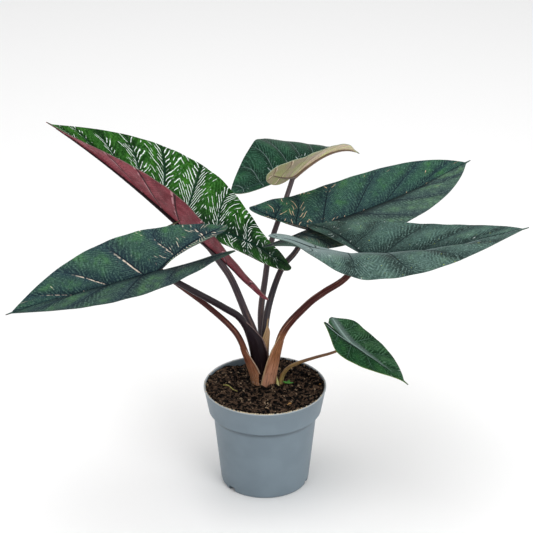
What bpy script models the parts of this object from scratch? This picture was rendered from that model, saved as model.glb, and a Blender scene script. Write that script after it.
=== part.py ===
"""A potted alocasia: seven arrow-shaped leaves on sheathed stalks, in a round nursery pot.

Sizes are in millimetres and angles in degrees, and MM turns them into Blender's metres. The origin is
the centre of the pot's flat base, +Z is up, and the plant faces -Y.
"""

import math

import bmesh
import bpy
import numpy as np
from mathutils import Matrix, Vector

MM = 0.001
SEAT = 0.3  # clear gap between two pieces that touch on the real plant

# Pot
POT_HEIGHT = 104.0
RIM_RADIUS = 60.0
RIM_BAND = 2.0
LIP_RADIUS = 55.3
LIP_HEIGHT = 78.6
BODY_TOP_RADIUS = 50.6
BASE_RADIUS = 43.0
WALL = 1.4
FLOOR = 1.6
FLOOR_RADIUS = 30.0
GROOVE_HEIGHT = 4.6
POT_SIDES = 44
NOTCH_WIDTH = 8.5
NOTCH_HEIGHT = 5.0
NOTCH_DEPTH = 5.0
NOTCH_ANGLES = (-139.0, -19.0, 101.0)

# Soil
SOIL_LEVEL = 102.0
SOIL_DIP = 3.0
SOIL_MOUND = 2.0
SOIL_SIDES = 40
SOIL_RINGS = 7
CRUMB_RELIEF = 0.9

# Foot of the plant
FOOT = (-2.0, 15.0)
STEM_RADIUS = 13.0
STEM_BOTTOM = 66.0
STEM_TOP = 96.0
BUNDLE_TOP = (-5.0, 13.0, 172.0)
BUNDLE_FOOT = (FOOT[0], FOOT[1], STEM_TOP)

# Leaves
BLADE = 0.8
FRONT_ROWS = 11
LOBE_ROWS = 6
COLUMNS = 3
TUBE_STEP = 11.0

# Each blade: insertion is where its stalk meets it, heading is the compass direction of the tip
# (0 is +X, 90 is +Y), pitch is the rise of the midrib, droop how far it bends down by the tip, roll turns
# the blade about the midrib. A pair is (left half, right half) as seen along the heading. fold lifts a
# half from flat, lobe_fold does so on the rear lobe, curl bends a half down over 40 mm of width, and
# back tilts the rear lobe. widest is where the half is widest, as a share of the length, full is how far
# it stays wide behind that, blunt is the roundness of the lobe's tip, and bay the bend of the margin
# between the two lobes, the last three as shares of the lobe.
BLADES = {
    "leaf_1": dict(
        insertion=(-97, -95, 274.5), length=143.5, half_width=(46.5, 48), lobe=88, spread=(35, 33),
        heading=192, pitch=-12, roll=-2.5, twist=-11, droop=0, sweep=0, sinus=1, tip=(1.1, 1.2),
        fold=(19, 32), fold_fade=(1, 1), lobe_fold=(30, 11.5), curl=(15, 8.5), back=(-14, 10),
        widest=(0.02, 0.02), full=(0.38, 0.47), blunt=(0.06, 0.18), bay=((0.5, 0.2), (0.34, 0.2)),
        wave=(0.7, 5),
    ),
    "leaf_2": dict(
        insertion=(-79, 11, 271), length=164, half_width=(52, 60), lobe=127, spread=(33, 35),
        heading=158, pitch=36, roll=-11.5, twist=1, droop=11.5, sweep=0, sinus=1, tip=(0.4, 0.9),
        fold=(53, 32), fold_fade=(0.95, 0.95), lobe_fold=(32, -13), curl=(-20, 0), back=(4, -1),
        widest=(0.05, -0.05), full=(0.6, 0.75), blunt=(0.1, 0.14), bay=((0.35, 0.19), (0.5, 0.13)),
        wave=(0.7, 7),
    ),
    "leaf_3": dict(
        insertion=(28, 118, 275), length=139, half_width=(56, 40), lobe=76, spread=(22, 29),
        heading=57, pitch=7, roll=1, twist=-18, droop=40, sweep=3, sinus=1, tip=(0.4, 0.1),
        fold=(51, 53), fold_fade=(0, 0), lobe_fold=(23, 71), curl=(30, 2), back=(-7, -7),
        widest=(0.13, -0.05), full=(0.2, 0.36), blunt=(0.21, 0.15), bay=((0.42, 0.1), (0.5, 0.04)),
        wave=(0.6, 5),
    ),
    "leaf_4": dict(
        insertion=(43, 59, 245), length=182.5, half_width=(50, 52), lobe=63.5, spread=(35.5, 28),
        heading=19, pitch=9, roll=12, twist=10, droop=-9, sweep=11, sinus=1, tip=(2.2, 2.2),
        fold=(14.5, 15), fold_fade=(1, 1), lobe_fold=(31, 30), curl=(17.5, 3), back=(-12, -3),
        widest=(0.01, 0.0), full=(0.34, 0.36), blunt=(0.18, 0.13), bay=((0.16, 0.2), (0.42, 0.13)),
        wave=(0.7, 6),
    ),
    "leaf_5": dict(
        insertion=(92, -32, 261), length=161, half_width=(52, 52), lobe=104, spread=(45, 47),
        heading=-17, pitch=9.5, roll=-8, twist=9, droop=-16, sweep=5.5, sinus=1, tip=(2.0, 1.3),
        fold=(29, 19), fold_fade=(0.1, 0.4), lobe_fold=(21, 80), curl=(13, 46), back=(3, -1),
        widest=(0.0, -0.02), full=(0.26, 0.5), blunt=(0.15, 0.04), bay=((0.26, 0.16), (0.41, 0.08)),
        wave=(0.7, 6),
    ),
    "leaf_6": dict(
        insertion=(82, -44, 173), length=68, half_width=(25.5, 26.5), lobe=33, spread=(12.5, 9.5),
        heading=-33, pitch=-21, roll=1, twist=1, droop=3, sweep=0, sinus=30, tip=(1.6, 0.4),
        fold=(7.5, 7), fold_fade=(1, 1), lobe_fold=(18, 21), curl=(8, 8), back=(-19, -14),
        widest=(-0.06, 0.04), full=(0.49, 0.35), blunt=(0.18, 0.16), bay=((0.42, 0.13), (0.42, 0.13)),
        wave=(0.4, 4),
    ),
    "leaf_7": dict(
        insertion=(-118, -17, 262.4), length=84, half_width=(24, 23), lobe=46, spread=(24, 20),
        heading=176, pitch=-36, roll=19, twist=0, droop=6, sweep=0, sinus=1, tip=(1.0, 1.0),
        fold=(8, 8), fold_fade=(1, 1), lobe_fold=(8, 8), curl=(6, 6), back=(4, 4),
        widest=(0.02, 0.02), full=(0.36, 0.36), blunt=(0.13, 0.13), bay=((0.42, 0.13), (0.42, 0.13)),
        wave=(0.5, 5),
    ),
}

# Each stalk: its route from the foot to just before the blade, its radius at foot, middle and top, and
# its sheath. The sheath is a trough round the bundle, reach mm long, with its margins at the given angles
# from the stalk at its foot, middle and top. The innermost stalk comes first.
STALKS = {
    "leaf_4": dict(
        route=[(1, 15, 94), (0, 15, 138), (1, 20, 164), (7, 33, 187), (17, 50, 207), (30, 57, 221)],
        radii=(3.2, 3.4, 2.6), reach=74, trough=(3.6, 5.0, 3.2), ccw=(60, 50, 10), cw=(80, 130, 60),
    ),
    "leaf_3": dict(
        route=[(-1, 20, 94), (-3, 23, 136), (-4, 37, 164), (0, 57, 190), (6, 81, 219), (19, 105, 250)],
        radii=(3.2, 3.2, 2.4), reach=56, trough=(3.4, 4.2, 3.0), ccw=(60, 60, 10), cw=(60, 60, 10),
    ),
    "leaf_2": dict(
        route=[(-6, 17, 94), (-7, 17, 139), (-19, 15, 176), (-32, 13, 212), (-44, 13, 232), (-56, 12, 250)],
        radii=(3.2, 3.8, 2.8), reach=66, trough=(3.4, 4.2, 3.2), ccw=(60, 60, 10), cw=(60, 60, 10),
    ),
    "leaf_1": dict(
        route=[(-5, 10, 94), (-11.5, 6.5, 143), (-22, -8, 179), (-40, -29, 204), (-71, -68, 243.5)],
        radii=(3.4, 3.6, 2.6), reach=88, trough=(6.6, 8.2, 5.0), ccw=(92, 100, 40), cw=(80, 74, 34),
    ),
    "leaf_5": dict(
        route=[(5, 10.5, 94), (9, 8, 123), (18, 3, 161), (40, -8, 195), (56, -16, 213), (76, -24, 232)],
        radii=(3.6, 3.8, 2.8), reach=70, trough=(9.2, 9.0, 4.4), ccw=(80, 62, 14), cw=(74, 60, 34),
    ),
    "leaf_7": dict(
        route=[
            (-8.6, 10.6, 94), (-10.6, 9.4, 109), (-18, 5, 134), (-29, 1, 162), (-56, -4, 193),
            (-94, -11, 229),
        ],
        radii=(3.2, 3.0, 2.0), reach=62, trough=(8.8, 9.0, 3.4), ccw=(70, 42, 12), cw=(78, 50, 10),
    ),
}
SHEATH_WALL = 1.2
SHEATH_ROWS = 8
SHEATH_COLUMNS = 7

# The youngest plantlet's stalk and bract stand in the soil beside the stem.
SIDE_STALK_ROUTE = [
    (15.6, 12.6, 84), (15.6, 12.4, 99.5), (17.4, 11.6, 108.5), (22.9, 8.5, 118), (31, 3, 126), (47, -10, 139),
    (67, -31, 157),
]
SIDE_STALK_RADII = (2.8, 1.7, 1.15)
BRACT_FOOT = (12.6, 6.2, 90.0)
BRACT_TIP = (11.6, 6.8, 109.0)
BRACT_RADIUS = 1.9

COLOURS = {
    "pot": ((0.19, 0.245, 0.27), 0.55),
    "soil": ((0.045, 0.026, 0.016), 0.95),
    "stem": ((0.30, 0.15, 0.09), 0.6),
    "stalk": ((0.09, 0.035, 0.035), 0.45),
    "side_stalk": ((0.26, 0.20, 0.09), 0.5),
    "bract": ((0.42, 0.44, 0.12), 0.55),
    "blade": ((0.035, 0.10, 0.055), 0.38),
    "young_blade": ((0.045, 0.17, 0.03), 0.35),
}


def clear_scene():
    for obj in list(bpy.data.objects):
        bpy.data.objects.remove(obj)


def new_collection(name):
    made = bpy.data.collections.new(name)
    bpy.context.scene.collection.children.link(made)
    return made


def new_material(name, colour, roughness):
    made = bpy.data.materials.new(name)
    made.use_nodes = True
    shader = made.node_tree.nodes["Principled BSDF"]
    shader.inputs["Base Color"].default_value = (*colour, 1.0)
    shader.inputs["Roughness"].default_value = roughness
    shader.inputs["Metallic"].default_value = 0.0
    return made


def object_from_bmesh(name, bm):
    mesh = bpy.data.meshes.new(name)
    bm.to_mesh(mesh)
    bm.free()
    return bpy.data.objects.new(name, mesh)


def realise(obj, collection):
    """The object as a plain mesh, with its modifiers or its bevel applied."""
    if obj.name not in collection.objects:
        collection.objects.link(obj)
    bpy.context.view_layer.update()
    graph = bpy.context.evaluated_depsgraph_get()
    mesh = bpy.data.meshes.new_from_object(obj.evaluated_get(graph))
    made = bpy.data.objects.new(obj.name + "_solid", mesh)
    made.matrix_world = obj.matrix_world.copy()
    collection.objects.link(made)
    name = obj.name
    bpy.data.objects.remove(obj)
    made.name = name
    return made


def combine(target, other, operation, collection):
    """Joins another solid to the target, or cuts it away, and keeps the largest body."""
    modifier = target.modifiers.new(operation.title(), "BOOLEAN")
    modifier.operation = operation
    modifier.object = other
    if not comes_out_closed(target):
        modifier.solver = "MANIFOLD"
        if not comes_out_closed(target):
            modifier.solver = "EXACT"
    made = realise(target, collection)
    keep_largest(made)
    return made


def comes_out_closed(obj):
    """Whether the object, with its modifiers, is a closed body once its corners are merged."""
    bpy.context.view_layer.update()
    evaluated = obj.evaluated_get(bpy.context.evaluated_depsgraph_get())
    bm = bmesh.new()
    bm.from_mesh(evaluated.to_mesh())
    evaluated.to_mesh_clear()
    tidy_corners(bm)
    closed = bool(bm.faces) and all(edge.is_manifold for edge in bm.edges)
    bm.free()
    return closed


def tidy_corners(bm):
    """Merges the corners that a cut leaves almost on top of each other."""
    bmesh.ops.remove_doubles(bm, verts=bm.verts, dist=0.004 * MM)
    bmesh.ops.dissolve_degenerate(bm, edges=bm.edges, dist=0.004 * MM)


def keep_largest(obj):
    bm = bmesh.new()
    bm.from_mesh(obj.data)
    tidy_corners(bm)
    left = set(bm.faces)
    bodies = []
    while left:
        body, edge = set(), [left.pop()]
        while edge:
            face = edge.pop()
            body.add(face)
            for near in (f for e in face.edges for f in e.link_faces):
                if near in left:
                    left.remove(near)
                    edge.append(near)
        bodies.append(body)
    largest = max(bodies, key=lambda body: sum(face.calc_area() for face in body))
    scraps = [face for body in bodies if body is not largest for face in body]
    bmesh.ops.delete(bm, geom=scraps, context="FACES")
    bmesh.ops.triangulate(bm, faces=bm.faces)
    bm.to_mesh(obj.data)
    bm.free()


def turned(name, profile, sides, collection):
    """A solid turned about Z from a profile of (radius, height) points, outer side first, top to bottom."""
    bm = bmesh.new()
    points = [bm.verts.new((r * MM, 0.0, z * MM)) for r, z in profile]
    for first, second in zip(points, points[1:]):
        bm.edges.new((first, second))
    obj = object_from_bmesh(name, bm)
    screw = obj.modifiers.new("Turn", "SCREW")
    screw.steps = screw.render_steps = sides
    screw.use_merge_vertices = True
    screw.merge_threshold = 0.00001
    return realise(obj, collection)


def closed_profile(points):
    return points + points[:1]


def smooth_route(points, step=TUBE_STEP):
    """A smooth curve through the points, read off about every step mm."""
    points = np.array(points, float)
    ends = np.vstack([2 * points[0] - points[1], points, 2 * points[-1] - points[-2]])
    fine = []
    for a, b, c, d in zip(ends, ends[1:], ends[2:], ends[3:]):
        t = np.linspace(0, 1, 12, endpoint=False)[:, None]
        bend = (2 * a - 5 * b + 4 * c - d) * t**2 + (3 * b - a - 3 * c + d) * t**3
        fine.append(0.5 * (2 * b + (c - a) * t + bend))
    fine = np.vstack(fine + [points[-1:]])
    along = np.concatenate([[0], np.cumsum(np.linalg.norm(np.diff(fine, axis=0), axis=1))])
    at = np.linspace(0, along[-1], max(3, int(round(along[-1] / step)) + 1))
    return np.stack([np.interp(at, along, fine[:, axis]) for axis in range(3)], axis=1)


def tube(name, points, radii, collection, roundness=2):
    """A capped tube along the points, with a radius at each of them."""
    curve = bpy.data.curves.new(name, "CURVE")
    curve.dimensions = "3D"
    curve.bevel_depth = MM
    curve.bevel_resolution = roundness
    curve.use_fill_caps = True
    spline = curve.splines.new("POLY")
    spline.points.add(len(points) - 1)
    for place, point, radius in zip(spline.points, points, radii):
        place.co = (*(MM * value for value in point), 1.0)
        place.radius = radius
    made = realise(bpy.data.objects.new(name, curve), collection)
    bm = bmesh.new()
    bm.from_mesh(made.data)
    bmesh.ops.remove_doubles(bm, verts=bm.verts, dist=0.001 * MM)
    bmesh.ops.recalc_face_normals(bm, faces=bm.faces)
    bmesh.ops.triangulate(bm, faces=bm.faces)
    bm.to_mesh(made.data)
    bm.free()
    return made


def ease(t):
    t = np.clip(t, 0.0, 1.0)
    return t * t * (3 - 2 * t)


def bezier(a, b, c, d, count):
    t = np.linspace(0, 1, count)[:, None]
    a, b, c, d = (np.array(p, float) for p in (a, b, c, d))
    return (1 - t) ** 3 * a + 3 * (1 - t) ** 2 * t * b + 3 * (1 - t) * t**2 * c + t**3 * d


def along_line(line, shares):
    """Points of a polyline at the given shares of its length."""
    steps = np.concatenate([[0], np.cumsum(np.linalg.norm(np.diff(line, axis=0), axis=1))])
    at = np.array(shares) * steps[-1]
    return np.stack([np.interp(at, steps, line[:, 0]), np.interp(at, steps, line[:, 1])], axis=1)


def flat_margins(leaf, half):
    """Outer and inner margin of one half of the flat blade, x along the midrib and y out from it."""
    length, width, lobe = leaf["length"], leaf["half_width"][half], leaf["lobe"]
    spread = math.radians(leaf["spread"][half])
    axis = np.array([-math.cos(spread), math.sin(spread)])
    outward = np.array([math.sin(spread), math.cos(spread)])
    lobe_tip = lobe * axis
    round_tip = leaf["blunt"][half] * lobe
    shoulder = np.array([length - 6.0, 0.9])
    widest = np.array([leaf["widest"][half] * length, width])
    narrowing = shoulder + (-0.20 * length, 0.32 * width * leaf["tip"][half])
    front = bezier(shoulder, narrowing, widest + (0.44 * length, 0), widest, 40)
    stays_wide = widest - (leaf["full"][half] * lobe, 0)
    before_tip = lobe_tip + 1.6 * round_tip * outward - 0.25 * lobe * axis
    rear = bezier(widest, stays_wide, before_tip, lobe_tip, 30)
    outer = np.vstack([[(length, 0)], front, rear[1:]])
    back, out = leaf["bay"][half]
    bay = (min(-back * lobe, -leaf["sinus"] - 2), out * lobe)
    inner = bezier(lobe_tip, lobe_tip - 0.9 * round_tip * outward, bay, (-leaf["sinus"], 0.0), 30)
    return outer, np.vstack([inner, [(0.0, 0.0)]]), lobe_tip


def blade_rows(leaf, half, front_rows, lobe_rows):
    """For each row of the half blade, its flat point on the rib and its flat point on the margin."""
    outer, inner, lobe_tip = flat_margins(leaf, half)
    steps = np.concatenate([[0], np.cumsum(np.linalg.norm(np.diff(outer, axis=0), axis=1))])
    beside_insertion = 0.42 * leaf["half_width"][half]
    ahead = np.argmax(outer[:, 0] < beside_insertion)
    share = steps[ahead] / steps[-1]
    front = np.linspace(0, 1, front_rows + 1)
    lobe = np.linspace(0, 1, lobe_rows + 1)[1:]
    margin = np.vstack([
        along_line(outer, front * share),
        along_line(outer, share + (1 - share) * lobe),
        along_line(inner, lobe),
    ])
    rib_end = 0.93 * lobe_tip
    ribs = np.vstack([
        np.stack([leaf["length"] * (1 - front), 0 * front], axis=1),
        lobe[:, None] * rib_end,
        (1 - lobe)[:, None] * rib_end,
    ])
    return ribs, margin


def midrib_frame(leaf, half):
    """Along the midrib and on behind it: x, then its point, sideways and upward direction."""
    length, lobe = leaf["length"], leaf["lobe"]
    x = np.concatenate([np.linspace(-lobe, 0, 30, endpoint=False), np.linspace(0, length, 61)])
    ahead, behind = np.clip(x / length, 0, 1), np.clip(-x / lobe, 0, 1)
    pitch = np.radians(leaf["pitch"] - leaf["droop"] * ahead**1.3 + leaf["back"][half] * behind)
    yaw = np.radians(leaf["heading"] + leaf["sweep"] * ahead)
    roll = np.radians(leaf["roll"] + leaf["twist"] * ahead)[:, None]
    along = np.stack([np.cos(pitch) * np.cos(yaw), np.cos(pitch) * np.sin(yaw), np.sin(pitch)], axis=1)
    steps = (along[1:] + along[:-1]) / 2 * np.diff(x)[:, None]
    points = np.vstack([np.zeros(3), np.cumsum(steps, axis=0)])
    points += np.array(leaf["insertion"]) - points[30]
    left = np.stack([-np.sin(yaw), np.cos(yaw), 0 * yaw], axis=1)
    up = np.cross(along, left)
    return x, points, left * np.cos(roll) + up * np.sin(roll), up * np.cos(roll) - left * np.sin(roll)


def bend_blade(leaf, half, flat):
    """Flat points of one half, y out from the midrib, bent to the leaf's posture."""
    x, points, left, up = midrib_frame(leaf, half)
    at = lambda values: np.stack([np.interp(flat[:, 0], x, values[:, k]) for k in range(3)], axis=1)
    out = flat[:, 1]
    behind = ease(-flat[:, 0] / leaf["lobe"] + 0.15)
    ahead = np.clip(flat[:, 0] / leaf["length"], 0, 1)
    fold = leaf["fold"][half] * (1 - (1 - leaf["fold_fade"][half]) * ahead)
    start = np.radians(fold + (leaf["lobe_fold"][half] - fold) * behind)
    turn = -math.radians(leaf["curl"][half] or 0.01) / 40.0 * out
    arc = np.where(np.abs(turn) < 1e-6, 1.0, np.sin(turn) / np.where(turn == 0, 1, turn)) * out
    rise = np.where(np.abs(turn) < 1e-6, 0.0, (1 - np.cos(turn)) / np.where(turn == 0, 1, turn)) * out
    sideways = np.cos(start) * arc - np.sin(start) * rise
    upward = np.sin(start) * arc + np.cos(start) * rise
    height, count = leaf["wave"]
    edge = np.clip(out / leaf["half_width"][half], 0, 1) ** 2
    upward = upward + height * edge * np.sin(2 * math.pi * count * flat[:, 0] / leaf["length"] + half)
    side = 1 if half == 0 else -1
    return at(points) + at(left) * (side * sideways)[:, None] + at(up) * upward[:, None]


def blade_surface(name, leaf):
    """The open blade: each half is a grid whose rows run from rib to margin, round the rear lobe too."""
    bm = bmesh.new()
    for half in (0, 1):
        ribs, margin = blade_rows(leaf, half, FRONT_ROWS, LOBE_ROWS)
        rows = len(ribs)
        made = bmesh.ops.create_grid(bm, x_segments=rows - 1, y_segments=COLUMNS, size=1.0)
        verts = made["verts"]
        across = np.array([(v.co.x + 1) / 2 * (rows - 1) for v in verts]).round().astype(int)
        out = np.array([(v.co.y + 1) / 2 for v in verts])[:, None]
        flat = ribs[across] * (1 - out) + margin[across] * out
        for vert, place in zip(verts, bend_blade(leaf, half, flat)):
            vert.co = Vector(place) * MM
        if half == 0:
            bmesh.ops.reverse_faces(bm, faces=list({f for v in verts for f in v.link_faces}))
    bmesh.ops.remove_doubles(bm, verts=bm.verts, dist=0.02 * MM)
    bmesh.ops.triangulate(bm, faces=bm.faces, quad_method="FIXED")
    return object_from_bmesh(name, bm)


def midrib_route(leaf):
    """The midrib's line under the blade, with its radius at each point."""
    x, points, _, up = midrib_frame(leaf, 0)
    knuckle = -2.0 if leaf["sinus"] < 2 else 0.6
    at = np.linspace(knuckle, 0.9 * leaf["length"], 12)
    root = leaf["rib_radius"]
    radii = root * (1 - np.clip(at, 0, None) / leaf["length"]) ** 0.9 + 0.35
    line = np.stack([np.interp(at, x, points[:, k]) for k in range(3)], axis=1)
    normal = np.stack([np.interp(at, x, up[:, k]) for k in range(3)], axis=1)
    return line - normal * (0.75 * radii)[:, None], radii


def make_blade(name, leaf, stalk_keepout, collection):
    surface = blade_surface(name, leaf)
    solid = surface.modifiers.new("Thickness", "SOLIDIFY")
    solid.thickness = BLADE * MM
    solid.offset = 0.0
    blade = realise(surface, collection)
    points, radii = midrib_route(leaf)
    rib = tube(name + "_rib", points, radii, collection, 1)
    blade = combine(blade, rib, "UNION", collection)
    bpy.data.objects.remove(rib)
    return combine(blade, stalk_keepout, "DIFFERENCE", collection)


def stalk_line(stalk, leaf):
    """The whole route of a stalk, up to the start of the midrib, and its radius at each point."""
    points = smooth_route(stalk["route"] + [tuple(seat_of(leaf))])
    share = np.linspace(0, 1, len(points))
    return points, np.interp(share, (0, 0.35, 1), stalk["radii"])


def seat_of(leaf):
    """Where the stalk ends, just under the insertion."""
    _, points, _, up = midrib_frame(leaf, 0)
    depth = 0.75 * (leaf["rib_radius"] + 0.35) + (0.8 if leaf["sinus"] > 2 else 0.0)
    return points[30] - up[30] * depth


def bundle_axis(height):
    share = (height - BUNDLE_FOOT[2]) / (BUNDLE_TOP[2] - BUNDLE_FOOT[2])
    return np.array(BUNDLE_FOOT[:2]) * (1 - share) + np.array(BUNDLE_TOP[:2]) * share


def sheath_surface(name, stalk, points, grow):
    """The trough at the foot of a stalk, open towards the inner stalks."""
    along = np.concatenate([[0], np.cumsum(np.linalg.norm(np.diff(points, axis=0), axis=1))])
    bm = bmesh.new()
    made = bmesh.ops.create_grid(bm, x_segments=SHEATH_ROWS, y_segments=SHEATH_COLUMNS, size=1.0)
    for vert in made["verts"]:
        up, across = (vert.co.x + 1) / 2, (vert.co.y + 1) / 2
        spine = np.array([np.interp(up * stalk["reach"], along, points[:, k]) for k in range(3)])
        outward = spine[:2] - bundle_axis(spine[2])
        outward = outward / np.linalg.norm(outward)
        radius = float(np.interp(up, (0, 0.5, 1), stalk["trough"]))
        more = math.degrees(grow / radius)
        ccw = float(np.interp(up, (0, 0.68, 1), stalk["ccw"])) + more
        cw = float(np.interp(up, (0, 0.68, 1), stalk["cw"])) + more
        angle = math.radians(-cw + (cw + ccw) * across)
        turn = np.array([[math.cos(angle), -math.sin(angle)], [math.sin(angle), math.cos(angle)]])
        centre = spine[:2] - outward * radius
        place = centre + turn @ outward * radius
        lift = grow * (2 * up - 1)
        vert.co = Vector((place[0], place[1], spine[2] + lift)) * MM
    bmesh.ops.triangulate(bm, faces=bm.faces, quad_method="FIXED")
    obj = object_from_bmesh(name, bm)
    solid = obj.modifiers.new("Thickness", "SOLIDIFY")
    solid.thickness = (SHEATH_WALL + 2 * grow) * MM
    solid.offset = 0.0
    return obj


def stalk_solid(name, stalk, leaf, grow, collection):
    """Stalk and sheath as one solid. grow makes it that much larger all round, as a cutter for others."""
    points, radii = stalk_line(stalk, leaf)
    longer = points.copy()
    tangent = (points[-1] - points[-2]) / np.linalg.norm(points[-1] - points[-2])
    longer[-1] = points[-1] + tangent * grow
    rod = tube(name, longer, radii + 1.1 * grow, collection)
    if not stalk.get("reach"):
        return rod
    sheath = realise(sheath_surface(name + "_sheath", stalk, points, grow), collection)
    rod = combine(rod, sheath, "UNION", collection)
    bpy.data.objects.remove(sheath)
    return rod


def box(name, low, high, collection):
    bm = bmesh.new()
    bmesh.ops.create_cube(bm, size=1.0)
    low, high = Vector(low) * MM, Vector(high) * MM
    for vert in bm.verts:
        vert.co = Vector(l + (c + 0.5) * (h - l) for l, c, h in zip(low, vert.co, high))
    obj = object_from_bmesh(name, bm)
    collection.objects.link(obj)
    return obj


def rod_cutter(name, foot, top, radius, collection):
    """An upright cylinder from foot height to top height, for a plain hole."""
    bm = bmesh.new()
    depth = (top - foot[2]) * MM
    place = Matrix.Translation(Vector((foot[0] * MM, foot[1] * MM, foot[2] * MM + depth / 2)))
    bmesh.ops.create_cone(
        bm, cap_ends=True, segments=24, radius1=radius * MM, radius2=radius * MM, depth=depth, matrix=place
    )
    obj = object_from_bmesh(name, bm)
    collection.objects.link(obj)
    return obj


def make_pot(collection):
    lip = LIP_HEIGHT
    slope_inside = (BODY_TOP_RADIUS - BASE_RADIUS) / (lip - 6)
    outside = [
        (RIM_RADIUS - WALL + 0.1, POT_HEIGHT),
        (RIM_RADIUS - 0.4, POT_HEIGHT),
        (RIM_RADIUS, POT_HEIGHT - 0.5),
        (RIM_RADIUS - 0.1, POT_HEIGHT - RIM_BAND),
        (LIP_RADIUS, lip + 0.5),
        (LIP_RADIUS - 0.5, lip - 0.2),
        (LIP_RADIUS - 1.3, lip - 0.4),
        (BODY_TOP_RADIUS + 0.5, lip - 4.0),
        (BODY_TOP_RADIUS, lip - 5.0),
        (BASE_RADIUS + 3.0 * slope_inside, 3.0),
        (BASE_RADIUS - 0.5, 1.0),
        (BASE_RADIUS - 1.4, 0.0),
        (BASE_RADIUS - 2.6, 0.0),
        (BASE_RADIUS - 3.0, GROOVE_HEIGHT),
        (FLOOR_RADIUS + 1.0, GROOVE_HEIGHT),
        (FLOOR_RADIUS, 0.0),
        (0.0, 0.0),
    ]
    inside = [
        (0.0, FLOOR),
        (FLOOR_RADIUS - 1.4, FLOOR),
        (FLOOR_RADIUS - 0.4, GROOVE_HEIGHT + FLOOR),
        (BASE_RADIUS - WALL, GROOVE_HEIGHT + FLOOR),
        (BODY_TOP_RADIUS - WALL, lip - 4.4),
        (LIP_RADIUS - WALL - 0.9, lip + 0.8),
        (RIM_RADIUS - WALL - 0.4, POT_HEIGHT - RIM_BAND),
    ]
    pot = turned("pot", closed_profile(outside + inside), POT_SIDES, collection)
    for number, angle in enumerate(NOTCH_ANGLES):
        notch = box(
            f"notch_{number}",
            (BASE_RADIUS - NOTCH_DEPTH, -NOTCH_WIDTH / 2, -1),
            (BASE_RADIUS + 3, NOTCH_WIDTH / 2, NOTCH_HEIGHT),
            collection,
        )
        notch.data.transform(Matrix.Rotation(math.radians(angle), 4, "Z"))
        pot = combine(pot, notch, "DIFFERENCE", collection)
        bpy.data.objects.remove(notch)
    return pot


def soil_height(x, y, draws):
    """Relief of the crumbs over a surface that dips inside the rim and is heaped round the stem."""
    dip = SOIL_DIP * ease((52 - math.hypot(x, y)) / 22)
    mound = SOIL_MOUND * np.exp(-((x - FOOT[0]) ** 2 + (y - FOOT[1]) ** 2) / 26.0**2)
    crumbs = sum(np.sin(a * x + b * y + c) for a, b, c in draws) / len(draws) * CRUMB_RELIEF * 1.6
    return mound + crumbs - dip


def make_soil(collection):
    gap = SEAT + 0.35
    bottom = FLOOR + SEAT
    shelf = GROOVE_HEIGHT + bottom
    rise = (SOIL_LEVEL - LIP_HEIGHT) / (POT_HEIGHT - LIP_HEIGHT)
    top_radius = LIP_RADIUS + (RIM_RADIUS - LIP_RADIUS) * rise - WALL - 0.9 - gap
    rings = [(top_radius * k / SOIL_RINGS, SOIL_LEVEL) for k in range(SOIL_RINGS + 1)]
    profile = rings + [
        (LIP_RADIUS - WALL - 1.4 - gap, LIP_HEIGHT + 1.0),
        (BODY_TOP_RADIUS - WALL - 0.2 - gap, LIP_HEIGHT - 5.0),
        (BASE_RADIUS - WALL - gap, shelf),
        (FLOOR_RADIUS - 0.6 - gap, shelf),
        (FLOOR_RADIUS - 1.6 - gap, bottom),
        (0.0, bottom),
    ]
    soil = turned("soil", profile, SOIL_SIDES, collection)
    draws = np.random.default_rng(7).uniform((-0.45, -0.45, 0), (0.45, 0.45, 6.3), (9, 3))
    for vert in soil.data.vertices:
        x, y, z = vert.co / MM
        if z > SOIL_LEVEL - 0.01 and math.hypot(x, y) < top_radius - 0.5:
            vert.co.z += soil_height(x, y, draws) * MM
    holes = [
        ("stem_hole", (*FOOT, STEM_BOTTOM - SEAT), STEM_RADIUS + SEAT),
        ("stalk_hole", (15.6, 12.5, SIDE_STALK_ROUTE[0][2] - SEAT), SIDE_STALK_RADII[0] + 0.9),
        ("bract_hole", BRACT_FOOT[:2] + (BRACT_FOOT[2] - SEAT,), BRACT_RADIUS + 0.6),
    ]
    for name, foot, radius in holes:
        cutter = rod_cutter(name, foot, POT_HEIGHT + 20, radius, collection)
        soil = combine(soil, cutter, "DIFFERENCE", collection)
        bpy.data.objects.remove(cutter)
    return soil


def make_stem(collection):
    profile = [
        (0.0, STEM_TOP),
        (STEM_RADIUS - 1.0, STEM_TOP),
        (STEM_RADIUS, STEM_TOP - 1.0),
        (STEM_RADIUS - 1.0, STEM_BOTTOM + 8),
        (STEM_RADIUS - 5.0, STEM_BOTTOM),
        (0.0, STEM_BOTTOM),
    ]
    stem = turned("stem_base", profile, 24, collection)
    stem.data.transform(Matrix.Translation((FOOT[0] * MM, FOOT[1] * MM, 0)))
    return stem


def make_bract(collection):
    points = smooth_route([BRACT_FOOT, (12.5, 6.2, 100.0), BRACT_TIP], 3.0)
    share = np.linspace(0, 1, len(points))
    return tube("side_bract", points, BRACT_RADIUS * (1 - share**2.2) + 0.15, collection, 1)


def dress(obj, material):
    obj.data.materials.clear()
    obj.data.materials.append(material)
    obj.data.shade_smooth()
    obj.data.set_sharp_from_angle(angle=math.radians(40))


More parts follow.
